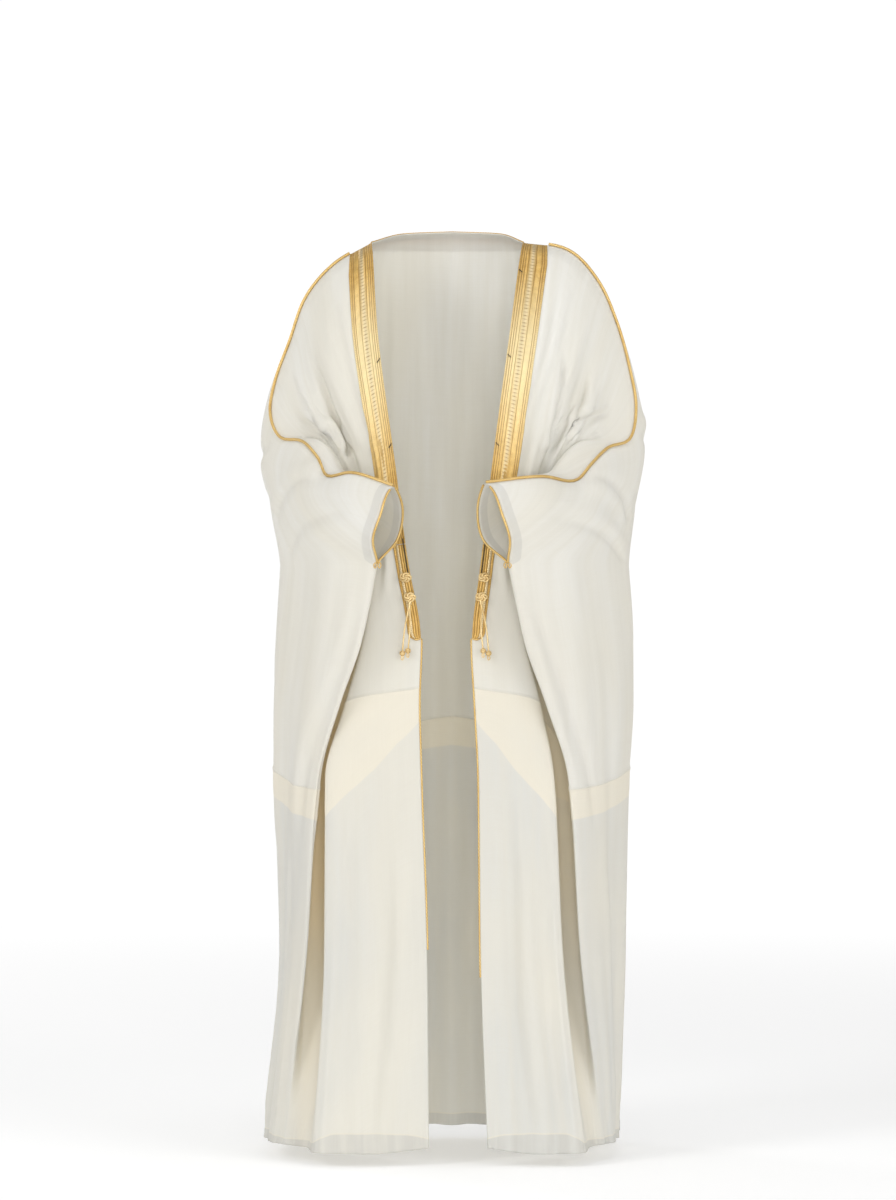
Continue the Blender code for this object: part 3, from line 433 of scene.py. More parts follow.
def soft_curve(knots, points, soft, at):
    """Curve through points (K, D) or (n, K, D); soft near 0 turns crisply."""
    k = np.asarray(knots, float)
    p = np.asarray(points, float)
    chord = np.diff(p, axis=-2)
    size = np.maximum(np.linalg.norm(chord, axis=-1, keepdims=True), 1e-9)
    way = chord / size
    rate = size / np.diff(k)[:, None]
    tangent = np.zeros_like(p)
    tangent[..., 0, :], tangent[..., -1, :] = way[..., 0, :], way[..., -1, :]
    mid = way[..., :-1, :] + way[..., 1:, :]
    tangent[..., 1:-1, :] = mid / np.maximum(np.linalg.norm(mid, axis=-1, keepdims=True), 1e-6)
    tangent = tangent * np.asarray(soft, float)[:, None]
    leave = np.zeros_like(p)
    arrive = np.zeros_like(p)
    leave[..., :-1, :] = tangent[..., :-1, :] * rate
    arrive[..., 1:, :] = tangent[..., 1:, :] * rate
    x = np.clip(np.atleast_1d(np.asarray(at, float)), k[0], k[-1])
    return hermite(k, p, leave, arrive, x)


def seam_line(side, w):
    table = np.array(SEAM_RIGHT if side == "right" else SEAM_LEFT)
    return soft_curve(table[:, 0], table[:, 1:], np.ones(len(table)), w)


def top_line(side, c):
    """Top edge of the cloth at columns c."""
    c = np.atleast_1d(np.asarray(c, float))
    w = np.where(c <= 1.0, c, np.interp(c - 1.0, B_OF_TOP, W_OF_TOP))
    line = seam_line(side, w)
    neck = np.array(NECKLINE)
    neck[0] = seam_line(side, 0.0)[0]
    far = pchip((0.0, 0.5, 1.0), neck, (c - 1.0 - NECK_AT) / (1.0 - NECK_AT))
    return np.where((c > 1.0 + NECK_AT)[:, None], far, line)


def ring_line(side, c, z):
    """Hanging cloth at columns c and heights z."""
    table = RING_RIGHT if side == "right" else RING_LEFT
    heights = [-row[0] for row in table]
    flat = np.array([[v for place in row[1:] for v in place] for row in table])
    places = pchip(heights, flat, -z).reshape(len(z), -1, 2)
    xy = soft_curve(STATION_C, places, STATION_SOFT, c)
    return np.column_stack([xy, z])


def thread_point(side, row, v):
    c = row[0]
    top = top_line(side, c)[0]
    high, low = np.array(row[1:4]), np.array(row[4:7])
    if side == "left":
        high[0] -= row[7]
        low[0] -= row[7]
    brow = top + (high - top) * np.array([BROW_ACROSS, BROW_ACROSS, BROW_DOWN])
    if c == 0.0:
        brow = top + (high - top) * np.array([0.18, 0.34, 0.12])
    at = np.array([c])
    points = np.array([top, brow, high, low,
                       ring_line(side, at, np.array([CUFF_FOOT_Z]))[0],
                       ring_line(side, at, np.array([BELOW_FOOT_Z]))[0]])
    along = np.concatenate([[0], np.cumsum(np.linalg.norm(np.diff(points, axis=0), axis=1))])
    return soft_curve(along / along[4], points, np.ones(6), v)[0]


THREAD_ROWS = {}


def thread_row(side, v, front):
    key = (side, round(float(v), 6), front)
    if key not in THREAD_ROWS:
        table = FRONT_THREADS if front else BACK_THREADS
        THREAD_ROWS[key] = np.array([thread_point(side, row, v) for row in table])
    return THREAD_ROWS[key]


def cloth_row(side, c, r, front):
    """Cloth at columns c on row r, before its folds, outward x positive."""
    c = np.atleast_1d(np.asarray(c, float))
    if r > 1.0:
        seam = pchip(SEAM_HEIGHT_C, SEAM_HEIGHT_Z, c)[:, 0]
        hem = pchip(HEM_HEIGHT_C, HEM_HEIGHT_Z, c)[:, 0]
        if r <= 2.0:
            z = CUFF_FOOT_Z + (seam - CUFF_FOOT_Z) * (r - 1.0)
        else:
            z = seam + (hem - seam) * (r - 2.0)
        return ring_line(side, c, z)
    knots = np.array([row[0] for row in (FRONT_THREADS if front else BACK_THREADS)])
    soft = np.ones(len(knots))
    here = soft_curve(knots, thread_row(side, r, front), soft, c)
    start = soft_curve(knots, thread_row(side, 0.0, front), soft, c)
    foot = soft_curve(knots, thread_row(side, 1.0, front), soft, c)
    ring = ring_line(side, c, np.full(len(c), CUFF_FOOT_Z))
    return here + (top_line(side, c) - start) * (1 - r) ** 2 + (ring - foot) * r ** 2


def fold_lift(side, c, r, table):
    """Sum of the folds of a table at places (c, r)."""
    total = np.zeros(len(c))
    for who, c_top, c_foot, r_top, r_foot, half, lift in table:
        if who not in ("both", side):
            continue
        t = np.clip((r - r_top) / (r_foot - r_top), 0, 1)
        off = np.clip(np.abs(c - (c_top + (c_foot - c_top) * t)) / half, 0, 1)
        rise = np.clip(t / 0.4, 0, 1)
        rise = rise * rise * (3 - 2 * rise)
        if r_foot < 3.0:
            rise = rise * np.clip((1 - t) / 0.25, 0, 1)
        total += lift * rise * (0.5 + 0.5 * np.cos(np.pi * off))
    return total


def refine(steps, count):
    """A fine run of values between coarse steps."""
    return np.interp(np.linspace(0, len(steps) - 1, count + 1), np.arange(len(steps)), steps)


class Grid:
    """Joined fine cloth of both sides, with normals and the place of each vertex."""

    def __init__(self):
        steps = refine(FRONT_STEPS, FINE_FRONT)
        under = 1.0 + np.interp(-steps[::-1], [-v for v in W_OF_TOP], B_OF_TOP)
        neck = 1.0 + NECK_AT + (1 - NECK_AT) * np.arange(1, FINE_NECK + 1) / FINE_NECK
        self.front = steps
        self.back = np.concatenate([under, neck])
        self.upper = refine(UPPER_ROWS, FINE_UPPER)
        belt = 1 + np.arange(1, FINE_MIDDLE) / FINE_MIDDLE
        skirt = 2 + np.arange(1, FINE_LOWER) / FINE_LOWER
        belt = np.sort(np.concatenate([belt[belt < 1.97], TUCK_ROWS_OVER]))
        skirt = skirt[(skirt > 2.015) & (skirt < 2.965)]
        skirt = np.concatenate([TUCK_ROWS_UNDER, skirt, HEM_ROWS])
        self.lower = np.concatenate([belt, skirt])
        self.tuck = len(belt)
        self.points, self.side, self.c, self.r = [], [], [], []
        self.count = 0
        self.maps = {}
        self.faces = {}
        self.centre = None
        for side in SIDES:
            self.add_side(side)
        self.points = np.concatenate(self.points)
        self.side = np.array(self.side)
        self.c = np.concatenate(self.c)
        self.r = np.concatenate(self.r)
        self.quads = np.concatenate([f.reshape(-1, 4) for f in self.faces.values()])
        self.columns = {"front": self.front, "back": self.back,
                        "low": np.concatenate([self.front, self.back[1:]])}
        self.rows = {"front": self.upper, "back": self.upper,
                     "low": np.concatenate([[1.0], self.lower])}
        self.normals = self.measure()
        self.raise_by(lambda side, c, r: fold_lift(side, c, r, FOLDS + CREASES))
        self.points = self.points + self.normals * self.creases()[:, None]
        self.normals = self.measure()
        nape = self.points[self.maps[("right", "back")][0, -1]].copy()
        self.points = self.points - nape

    def push(self, side, points, c, r):
        points = points * np.array([SIDES[side], 1.0, 1.0])
        ids = np.arange(self.count, self.count + len(points))
        self.count += len(points)
        self.points.append(points)
        self.side += [side] * len(points)
        self.c.append(np.asarray(c, float))
        self.r.append(np.full(len(points), float(r)))
        return ids

    def add_side(self, side):
        nf, nb = len(self.front), len(self.back)
        front = np.zeros((len(self.upper), nf), int)
        back = np.zeros((len(self.upper), nb), int)
        low = np.zeros((len(self.lower) + 1, nf + nb - 1), int)
        centre = []
        for j, r in enumerate(self.upper):
            front[j] = self.push(side, cloth_row(side, self.front, r, True), self.front, r)
            first = nf if j == 0 else (1 if j == len(self.upper) - 1 else 0)
            last = nb if self.centre is None else nb - 1
            c = self.back[first:last]
            back[j, first:last] = self.push(side, cloth_row(side, c, r, False), c, r)
            if j == 0:
                back[j, :nf] = front[0, ::-1]
            elif first == 1:
                back[j, 0] = front[j, -1]
            if self.centre is not None:
                back[j, -1] = self.centre[j]
            centre.append(back[j, -1])
        low[0] = np.concatenate([front[-1], back[-1, 1:]])
        columns = np.concatenate([self.front, self.back[1:]])
        for k, r in enumerate(self.lower):
            last = len(columns) if self.centre is None else len(columns) - 1
            c = columns[:last]
            low[k + 1, :last] = self.push(side, cloth_row(side, c, r, True), c, r)
            if self.centre is not None:
                low[k + 1, -1] = self.centre[len(self.upper) + k]
            centre.append(low[k + 1, -1])
        self.centre = centre
        for name, ids in (("front", front), ("back", back), ("low", low)):
            self.maps[(side, name)] = ids
            quad = np.stack([ids[:-1, :-1], ids[1:, :-1], ids[1:, 1:], ids[:-1, 1:]], axis=-1)
            self.faces[(side, name)] = quad[..., ::-1] if side == "right" else quad

    def measure(self):
        """Outward vertex normals from the faces around them."""
        p = self.points[self.quads]
        face = np.cross(p[:, 2] - p[:, 0], p[:, 3] - p[:, 1])
        face = unit(face)
        normals = np.zeros_like(self.points)
        for k in range(4):
            np.add.at(normals, self.quads[:, k], face)
        return unit(normals)

    def creases(self):
        """Lift of every point for the sharper creases, each a groove beside a ridge."""
        total = np.zeros(len(self.points))
        for side, sheet, path, half, depth, proud in CREASE_LINES:
            knots = np.linspace(0, 1, len(path))
            t = np.linspace(0, 1, 60)
            path = np.array(path)
            c, r = np.interp(t, knots, path[:, 0]), np.interp(t, knots, path[:, 1])
            line = self.sample(side, c, r, sheet == "back")[0]
            ids = np.unique(self.maps[(side, sheet)])
            near = ((self.c[ids] > c.min() - 0.15) & (self.c[ids] < c.max() + 0.15)
                    & (self.r[ids] > r.min() - 0.12) & (self.r[ids] < r.max() + 0.12))
            ids = ids[near]
            away = self.points[ids][:, None, :] - line[None, :, :]
            k = np.argmin(np.sum(away ** 2, axis=2), axis=1)
            along = unit(np.gradient(line, axis=0))[k]
            off = away[np.arange(len(ids)), k]
            beside = np.sum(off * unit(np.cross(along, self.normals[ids])), axis=1)
            beyond = np.sum(off * along, axis=1)
            at = t[k]
            fade = np.clip(at / 0.35, 0, 1) * np.clip((1 - at) / 0.12, 0, 1)
            fade = fade * fade * (3 - 2 * fade) * np.exp(-(beyond / half) ** 2)
            u = beside / half
            shape = 0.75 * np.exp(-((u - 1.5 * proud) / 0.95) ** 2) - np.exp(-(u / 0.6) ** 2)
            total[ids] += depth * fade * shape
        return total

    def raise_by(self, lift):
        """Move the cloth along its normals by lift(side, c, r) in metres."""
        rise = np.zeros(len(self.points))
        for side in SIDES:
            mine = self.side == side
            rise[mine] = lift(side, self.c[mine], self.r[mine])
        self.points = self.points + self.normals * rise[:, None]
        self.normals = self.measure()

    def sample(self, side, c, r, back=False):
        """Places and outward normals at columns c and rows r, arrays of one shape."""
        c, r = np.broadcast_arrays(np.asarray(c, float), np.asarray(r, float))
        shape = c.shape
        c, r = c.ravel(), r.ravel()
        place, way = np.zeros((len(c), 3)), np.zeros((len(c), 3))
        for name, mine in (("back" if back else "front", r <= 1.0), ("low", r > 1.0)):
            if not mine.any():
                continue
            ids = self.maps[(side, name)]
            x = np.interp(c[mine], self.columns[name], np.arange(ids.shape[1]))
            y = np.interp(r[mine], self.rows[name], np.arange(ids.shape[0]))
            i = np.minimum(x.astype(int), ids.shape[1] - 2)
            j = np.minimum(y.astype(int), ids.shape[0] - 2)
            fx, fy = (x - i)[:, None], (y - j)[:, None]
            for out, values in ((place, self.points), (way, self.normals)):
                over = values[ids[j, i]] * (1 - fx) + values[ids[j, i + 1]] * fx
                under = values[ids[j + 1, i]] * (1 - fx) + values[ids[j + 1, i + 1]] * fx
                out[mine] = over * (1 - fy) + under * fy
        return place.reshape(shape + (3,)), unit(way).reshape(shape + (3,))

    def run(self, side, r, back=False, count=240):
        """Distance along row r from its first column, at count columns."""
        c = np.linspace(1.0, 2.0, count) if back else np.linspace(0.0, 1.0, count)
        line = self.sample(side, c, np.full(count, r), back)[0]
        far = np.linalg.norm(np.diff(line, axis=0), axis=1)
        return c, np.concatenate([[0.0], np.cumsum(far)])


def finish_mesh(name, mesh, material, values):
    """Object with smooth faces and named numbers on its points."""
    mesh.polygons.foreach_set("use_smooth", np.ones(len(mesh.polygons), bool))
    for key, numbers in values.items():
        mesh.attributes.new(key, "FLOAT", "POINT").data.foreach_set(
            "value", np.asarray(numbers, np.float32).ravel())
    mesh.materials.append(material)
    mesh.update()
    item = bpy.data.objects.new(name, mesh)
    bpy.context.scene.collection.objects.link(item)
    return item


def add_mesh(name, points, faces, material, **values):
    mesh = bpy.data.meshes.new(name)
    mesh.from_pydata(np.asarray(points).tolist(), [], np.asarray(faces).tolist())
    return finish_mesh(name, mesh, material, values)


def settle(item, nodes=()):
    """The piece rides on the garment and stands for its nodes."""
    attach(item, "root")
    if nodes:
        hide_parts(*nodes)
    return item


def cloth_piece(grid, name, parts, values, material):
    """Thin cloth over some faces of the grid, with its measures on its points."""
    quads = np.concatenate([f.reshape(-1, 4) for f in parts])
    used, quads = np.unique(quads, return_inverse=True)
    item = add_mesh(name, grid.points[used], quads.reshape(-1, 4), material,
                    **{key: v[used] for key, v in values.items()})
    wall = item.modifiers.new("wall", "SOLIDIFY")
    wall.thickness = CLOTH_WALL
    wall.offset = 0.0
    wall.use_quality_normals = True
    return item


def cloth_values(grid):
    """Measures that the cloth material reads, for every point of the grid."""
    n = len(grid.points)
    across, down = np.zeros(n), np.zeros(n)
    cuff = np.full(n, 0.2)
    for side in SIDES:
        front, back, low = (grid.maps[(side, k)] for k in ("front", "back", "low"))
        for ids, lip in ((front, -1), (back, 0)):
            gaps = np.linalg.norm(np.diff(grid.points[ids], axis=1), axis=2)
            run = np.concatenate([np.zeros((len(ids), 1)), np.cumsum(gaps, axis=1)], axis=1)
            fall = np.linalg.norm(np.diff(grid.points[ids], axis=0), axis=2)
            fall = np.concatenate([np.zeros((1, ids.shape[1])), np.cumsum(fall, axis=0)])
            first = 1 if lip == 0 else 0
            place = FRONT_OFFSET[side] + run if lip else SIDES[side] * (run[:, -1:] - run)
            across[ids[first:]] = place[first:]
            down[ids[first:]] = fall[first:]
            cuff[ids[first:]] = np.abs(run - run[:, lip][:, None])[first:]
        gaps = np.linalg.norm(np.diff(grid.points[low], axis=1), axis=2)
        run = np.concatenate([np.zeros((len(low), 1)), np.cumsum(gaps, axis=1)], axis=1)
        behind = SIDES[side] * (run[:, -1:] - run)
        across[low] = np.where(grid.c[low] < 1.001, FRONT_OFFSET[side] + run, behind)
        fall = np.linalg.norm(np.diff(grid.points[low], axis=0), axis=2)
        down[low[1:]] = np.cumsum(fall, axis=0) + down[low[0]]
    under = (grid.r - 2.0) * LOWER_DEPTH
    layer = np.interp(grid.c, TUCK_LAYER_C, TUCK_LAYER_DEPTH)
    # Painted warm shade of the valley fold, stronger on the wearer's right
    valley = np.interp(grid.c, VALLEY_C, VALLEY_SHADE)
    valley = valley * np.where(np.array(grid.side) == "right",
                               np.interp(grid.r, VALLEY_R, VALLEY_DEEP),
                               np.interp(grid.r, VALLEY_R, VALLEY_PALE))
    hem = np.interp(grid.c, HEM_BAND_C, HEM_BAND_DEPTH)
    return {"across": across, "down": down, "valley_painted_shade": np.clip(valley, 0, 1),
            "tuck_edge": np.minimum(under, layer - under),
            "cuff_edge": cuff + 0.02 * np.clip((grid.r - 0.9) / 0.1, 0, 1) ** 2,
            "hem_edge": hem - (3.0 - grid.r) * LOWER_DEPTH, "level": grid.r}


def braid(across, along, lattice):
    """Height, in mm, and joints of a chevron braid between two distances; the joints and sunken
    spine later get painted shade.
    """
    lo, hi = lattice
    t = (across - lo) / (hi - lo)
    inside = (t > 0.0) & (t < 1.0)
    lean = np.abs(2 * t - 1)
    wave = 0.5 + 0.5 * np.cos(2 * np.pi * (along / LATTICE_PITCH - 0.55 * lean))
    spine = np.clip(1 - np.abs(t - 0.5) / 0.07, 0, 1)
    height = 0.40 * (wave - 0.5) - 0.20 * spine
    joint = np.clip(1 - wave / 0.22, 0, 1) + 0.3 * spine
    return np.where(inside, height, 0.0), np.where(inside, np.clip(joint, 0, 1), 0.0), inside


def slab(name, top, low, material, **values):
    """Closed strip: fine relief on top, the same rim and a coarser underside."""
    rows, cols = top.shape[:2]
    ids = np.arange(rows * cols).reshape(rows, cols)
    keep = np.unique(np.linspace(0, cols - 1, 7).astype(int))
    base = np.arange(rows * len(keep)).reshape(rows, len(keep)) + rows * cols
    quads = []
    for grid, turn in ((ids, 1), (base, -1)):
        quad = np.stack([grid[:-1, :-1], grid[1:, :-1], grid[1:, 1:], grid[:-1, 1:]], -1)
        quads.append(quad.reshape(-1, 4)[:, ::turn])
    for edge, low_edge in ((ids[:, -1], base[:, -1]), (ids[::-1, 0], base[::-1, 0])):
        quads.append(np.stack([edge[:-1], low_edge[:-1], low_edge[1:], edge[1:]], -1)[:, ::-1])
    faces = np.concatenate(quads).tolist()
    faces.append(ids[0].tolist() + base[0, ::-1].tolist())
    faces.append(ids[-1, ::-1].tolist() + base[-1].tolist())
    over = np.cross(top[1, 0] - top[0, 0], top[0, 1] - top[0, 0]) @ (top[0, 0] - low[0, 0])
    if over < 0:
        faces = [face[::-1] for face in faces]
    points = np.concatenate([top.reshape(-1, 3), low[:, keep].reshape(-1, 3)])
    values = {key: np.concatenate([v.ravel(), v[:, keep].ravel()]) for key, v in values.items()}
    mesh = bpy.data.meshes.new(name)
    mesh.from_pydata(points.tolist(), [], faces)
    return finish_mesh(name, mesh, material, values)


def relief(place, way, across, along, table, lattice):
    """Top and underside of an embroidered strip, and the numbers its material reads."""
    full = table[-1, 0]
    height = np.interp(across, table[:, 0], table[:, 1])
    extra, joint, inside = braid(across, along, lattice)
    # The groove mask is painted shade where the relief sinks: low profile, braid joints, and the
    # troughs of beads and cord ply
    groove_shade = np.maximum(np.clip(1 - height / 0.30, 0, 1), joint)
    grain = np.clip(np.minimum(across - (full - GRAIN_WIDTH), full - across) / 1.0, 0, 1)
    bead = np.sin(2 * np.pi * along / GRAIN_PITCH)
    cord = np.clip(np.minimum(across + 0.5, 2.5 - across) / 0.8, 0, 1)
    ply = np.sin(2 * np.pi * (along / 3.0 + across / 3.0))
    height = np.maximum(height + extra + 0.35 * grain * bead + 0.22 * cord * ply, 0.02)
    groove_shade = np.maximum(groove_shade, 0.55 * np.maximum(-grain * bead, -cord * ply))
    base = CLOTH_WALL / 2 + 0.0001
    top = place + way * (base + BAND_BASE + height / 1000)[..., None]
    low = place + way * base
    return top, low, {"tone": np.where(inside, 1.0, 0.0), "groove_shade": np.clip(groove_shade, 0, 1),
                      "along": along / 1000, "across": across / 1000}


def marks_of(table):
    """Distances across a strip: every table mark and one between each two."""
    return np.interp(np.arange(0, len(table) - 0.5, 0.5), np.arange(len(table)), table[:, 0])


def band_strip(grid, name, side, r_line, widths, profile, lattice, material, begin=0.0):
    """Embroidered strip that follows the front edge, from its own relief table."""
    table = np.array(profile)
    marks = marks_of(table)
    c = np.zeros((len(r_line), len(marks)))
    for k, r in enumerate(r_line):
        knots, run = grid.run(side, r)
        c[k] = np.interp(marks / table[-1, 0] * widths[k], run, knots)
    r = np.repeat(np.asarray(r_line)[:, None], len(marks), axis=1)
    place, way = grid.sample(side, c, r)
    step = np.linalg.norm(np.diff(place[:, len(marks) // 2], axis=0), axis=1)
    along = (begin + np.concatenate([[0.0], np.cumsum(step)]))[:, None] * 1000 + 0 * r
    across = marks[None, :] + 0 * r
    top, low, values = relief(place, way, across, along, table, lattice)
    return slab(name, top, low, material, **values)


def respace(line, step):
    """The line with points a step apart."""
    line = np.asarray(line, float)
    run = np.concatenate([[0.0], np.cumsum(np.linalg.norm(np.diff(line, axis=0), axis=1))])
    count = max(2, int(round(run[-1] / step)))
    at = np.linspace(0, run[-1], count + 1)
    return np.stack([np.interp(at, run, line[:, k]) for k in range(3)], axis=1), at


def smooth_line(line, count):
    """Rounded line through a few points."""
    line = np.asarray(line, float)
    run = np.concatenate([[0.0], np.cumsum(np.linalg.norm(np.diff(line, axis=0), axis=1))])
    return soft_curve(run, line, np.ones(len(line)), np.linspace(0, run[-1], count))


def tube(line, at, radius, pitch, lobes, sides, depth, closed=False):
    """Points and faces of a twisted cord along a line."""
    along = np.gradient(line, axis=0)
    if closed:
        along = np.roll(line, -1, axis=0) - np.roll(line, 1, axis=0)
    along = unit(along)
    first = np.cross(along[0], [0.31, 0.52, 0.79])
    frame = [first / np.linalg.norm(first)]
    for k in range(1, len(line)):
        v = frame[-1] - along[k] * (frame[-1] @ along[k])
        frame.append(v / np.linalg.norm(v))
    u = np.array(frame)
    v = np.cross(along, u)
    theta = np.linspace(0, 2 * np.pi, sides, endpoint=False)[None, :]
    turn = 2 * np.pi * at[:, None] / pitch
    strand = np.abs(np.cos(lobes / 2 * (theta - turn)))
    r = radius * (1 - depth + depth * strand ** 0.7)
    r = r * np.ones_like(theta)
    points = (line[:, None, :] + u[:, None, :] * (r * np.cos(theta))[..., None]
              + v[:, None, :] * (r * np.sin(theta))[..., None])
    n, m = len(line), sides
    ids = np.arange(n * m).reshape(n, m)
    nxt = np.roll(ids, -1, axis=1)
    if closed:
        far, far_next = np.roll(ids, -1, axis=0), np.roll(nxt, -1, axis=0)
        quads = np.stack([ids, nxt, far_next, far], -1).reshape(-1, 4)
        return points.reshape(-1, 3), quads.tolist(), strand.ravel()
    quads = np.stack([ids[:-1], nxt[:-1], nxt[1:], ids[1:]], -1).reshape(-1, 4)
    faces = quads.tolist() + [ids[0, ::-1].tolist(), ids[-1].tolist()]
    return points.reshape(-1, 3), faces, strand.ravel()


def merged(name, parts, material):
    """One object from several (points, faces, strand) parts."""
    points, faces, strand, count = [], [], [], 0
    for p, f, w in parts:
        points.append(p)
        faces += [[v + count for v in face] for face in f]
        strand.append(w)
        count += len(p)
    mesh = bpy.data.meshes.new(name)
    mesh.from_pydata(np.concatenate(points).tolist(), [], faces)
    return finish_mesh(name, mesh, material, {"strand": np.concatenate(strand)})


def rope(line, radius, step=0.0012, pitch=0.0075, lobes=3, sides=16, depth=0.24, closed=False):
    line, at = respace(line, step)
    if closed:
        line, at = line[:-1], at[:-1]
        pitch = (at[-1] + step) / max(1, round((at[-1] + step) / pitch))
    return tube(line, at, radius, pitch, lobes, sides, depth, closed)


def ball(centre, axes, radii, segments=20, rings=12):
    """Small closed ball; axes are its three directions."""
    points, faces = [centre + axes[2] * radii[2]], []
    for j in range(1, rings):
        phi = np.pi * j / rings
        for k in range(segments):
            theta = 2 * np.pi * k / segments
            points.append(centre + axes[0] * radii[0] * np.sin(phi) * np.cos(theta)
                          + axes[1] * radii[1] * np.sin(phi) * np.sin(theta)
                          + axes[2] * radii[2] * np.cos(phi))
    points.append(centre - axes[2] * radii[2])
    last = len(points) - 1
    for k in range(segments):
        far = (k + 1) % segments
        faces.append([0, 1 + k, 1 + far])
        for j in range(rings - 2):
            a, b = 1 + j * segments + k, 1 + j * segments + far
            faces.append([a, a + segments, b + segments, b])
        faces.append([last, last - segments + far, last - segments + k])
    return np.array(points), faces, np.full(len(points), 0.4)


def braided_knot(centre, across, up, way, size, flat):
    """Interlaced button knot over a small core."""
    t = np.linspace(0, 6 * np.pi, 240, endpoint=False)
    spread = 0.58 + 0.30 * np.cos(5 * t / 3)
    rise = 0.42 + 0.30 * np.sin(5 * t / 3)
    line = (centre + across * (1.15 * size * spread * np.cos(t))[:, None]
            + up * (0.85 * size * spread * np.sin(t))[:, None]
            + way * (size * flat * rise)[:, None])
    line = np.concatenate([line, line[:1]])
    return [rope(line, size * 0.17, step=0.0007, pitch=0.0032, sides=10, closed=True),
            ball(centre, (across, up, way), (size * 0.98, size * 0.72, size * flat * 0.8))]


def tail_place(grid, side, z):
    """Place and outward way on the middle of the band tail at a height."""
    r = np.linspace(0.9, 1.7, 160)
    c = np.zeros(len(r))
    for k, v in enumerate(r):
        knots, run = grid.run(side, v)
        c[k] = np.interp(TAIL_WIDTH * 0.38, run, knots)
    place, way = grid.sample(side, c, r)
    k = int(np.argmin(np.abs(place[:, 2] - z)))
    return place[k] + way[k] * (CLOTH_WALL / 2 + 0.0055), way[k]


def tassel(grid, side, material):
    """Two braided knots on the tail and two beaded cords that hang from the lower one."""
    sign = SIDES[side]
    for name, height in (("knot", KNOT_HEIGHTS[0]), ("tassel", KNOT_HEIGHTS[1])):
        place, way = tail_place(grid, side, height - NAPE[2])
        up = unit(np.array([0.0, 0.0, 1.0]) - way * way[2])
        across = np.cross(up, way)
        parts = braided_knot(place, across, up, way, KNOT_RADIUS, 0.62)
        if name == "tassel":
            parts.append(rope(smooth_line([place - up * 0.006 + way * 0.003,
                                           place - up * 0.012 + way * 0.003], 8),
                              0.0034, step=0.0008, pitch=0.003, lobes=4))
            for out, drop, lean in STRANDS:
                top = place - up * 0.010 + way * 0.003 + across * 0.0
                foot = place + np.array([sign * out, -0.006, -drop])
                middle = (top + foot) / 2 + np.array([sign * lean, -0.002, 0.0])
                parts.append(rope(smooth_line([top, middle, foot], 40), 0.0013, pitch=0.004,
                                  sides=10))
                side_way = np.array([1.0, 0.0, 0.0])
                front_way = np.array([0.0, -1.0, 0.0])
                down_way = np.array([0.0, 0.0, 1.0])
                parts.append(ball(foot, (side_way, down_way, front_way),
                                  (BEAD_RADIUS, BEAD_RADIUS * 1.1, BEAD_RADIUS)))
                for lift in (-0.0022, 0.0, 0.0022):
                    ring = np.sqrt(max(BEAD_RADIUS ** 2 - lift ** 2, 0)) * 0.98
                    t = np.linspace(0, 2 * np.pi, 32)
                    line = (foot + side_way * (ring * np.cos(t))[:, None]
                            + front_way * (ring * np.sin(t))[:, None]
                            + down_way * (lift + 0.0005 * np.sin(3 * t))[:, None])
                    parts.append(rope(line, 0.0008, step=0.0007, pitch=0.002, sides=8,
                                      closed=True))
                end = foot - down_way * BEAD_RADIUS
                t = np.linspace(0, 2 * np.pi, 28)
                line = (end + side_way * (0.0018 * np.sin(t))[:, None]
                        - down_way * (0.0065 * (1 - np.cos(t)) / 2)[:, None])
                parts.append(rope(line, 0.0009, step=0.0007, pitch=0.003, sides=8, closed=True))
        settle(merged(f"{name}_{side}_braid", parts, material), (f"{name}_{side}",))


def seam_cord(grid, side, material):
    """Gold cord over the closed top edge from the neck band to the cuff."""
    c = np.linspace(0.066, 1.0, 240)
    place, way = grid.sample(side, c, np.zeros(len(c)))
    line = place + way * (CLOTH_WALL / 2 + CORD_RADIUS * 0.9)
    parts = [rope(line, CORD_RADIUS)]
    return settle(merged(f"shoulder_cord_{side}_rope", parts, material),
                  (f"shoulder_cord_{side}",))


def lip_line(grid, side, back, r, radius):
    """Line one radius outside a cuff lip."""
    c = np.full(len(r), 1.0)
    near = np.full(len(r), 1.02 if back else 0.985)
    place, way = grid.sample(side, c, r, back)
    inner = grid.sample(side, near, r, back)[0]
    along = unit(np.gradient(place, axis=0))
    out = place - inner
    out = out - along * np.sum(out * along, axis=1, keepdims=True)
    out = unit(out - way * np.sum(out * way, axis=1, keepdims=True))
    return place + out * radius


def cuff_cord(grid, side, material):
    """Open loop of gold cord round the cuff slit, with two little end loops."""
    radius = CORD_RADIUS * 0.8
    r = np.linspace(0.05, 0.97, 90)
    outer = lip_line(grid, side, True, r, radius)
    inner = lip_line(grid, side, False, r, radius)
    apart = np.linalg.norm(outer - inner, axis=1) > radius * 3.0
    outer, inner = outer[apart], inner[apart]
    foot = grid.sample(side, np.array([1.0]), np.array([1.0]))[0][0]
    turn = (outer[-1] + inner[-1]) / 2 * 0.6 + foot * 0.4
    line = np.concatenate([outer, turn[None], inner[::-1]])
    parts = [rope(line, radius, pitch=0.0062)]
    t = np.linspace(0, 2 * np.pi, 30)
    for shift in (-0.0035, 0.0035):
        loop = (turn + np.array([shift, -0.002, 0.0])
                + np.array([1.0, 0.0, 0.0]) * (0.0022 * np.sin(t))[:, None]
                - np.array([0.0, 0.0, 1.0]) * (0.0085 * (1 - np.cos(t)) / 2)[:, None])
        parts.append(rope(loop, 0.0010, step=0.0008, pitch=0.003, sides=8, closed=True))
    return settle(merged(f"cuff_cord_{side}_rope", parts, material),
                  (f"cuff_cord_{side}",))


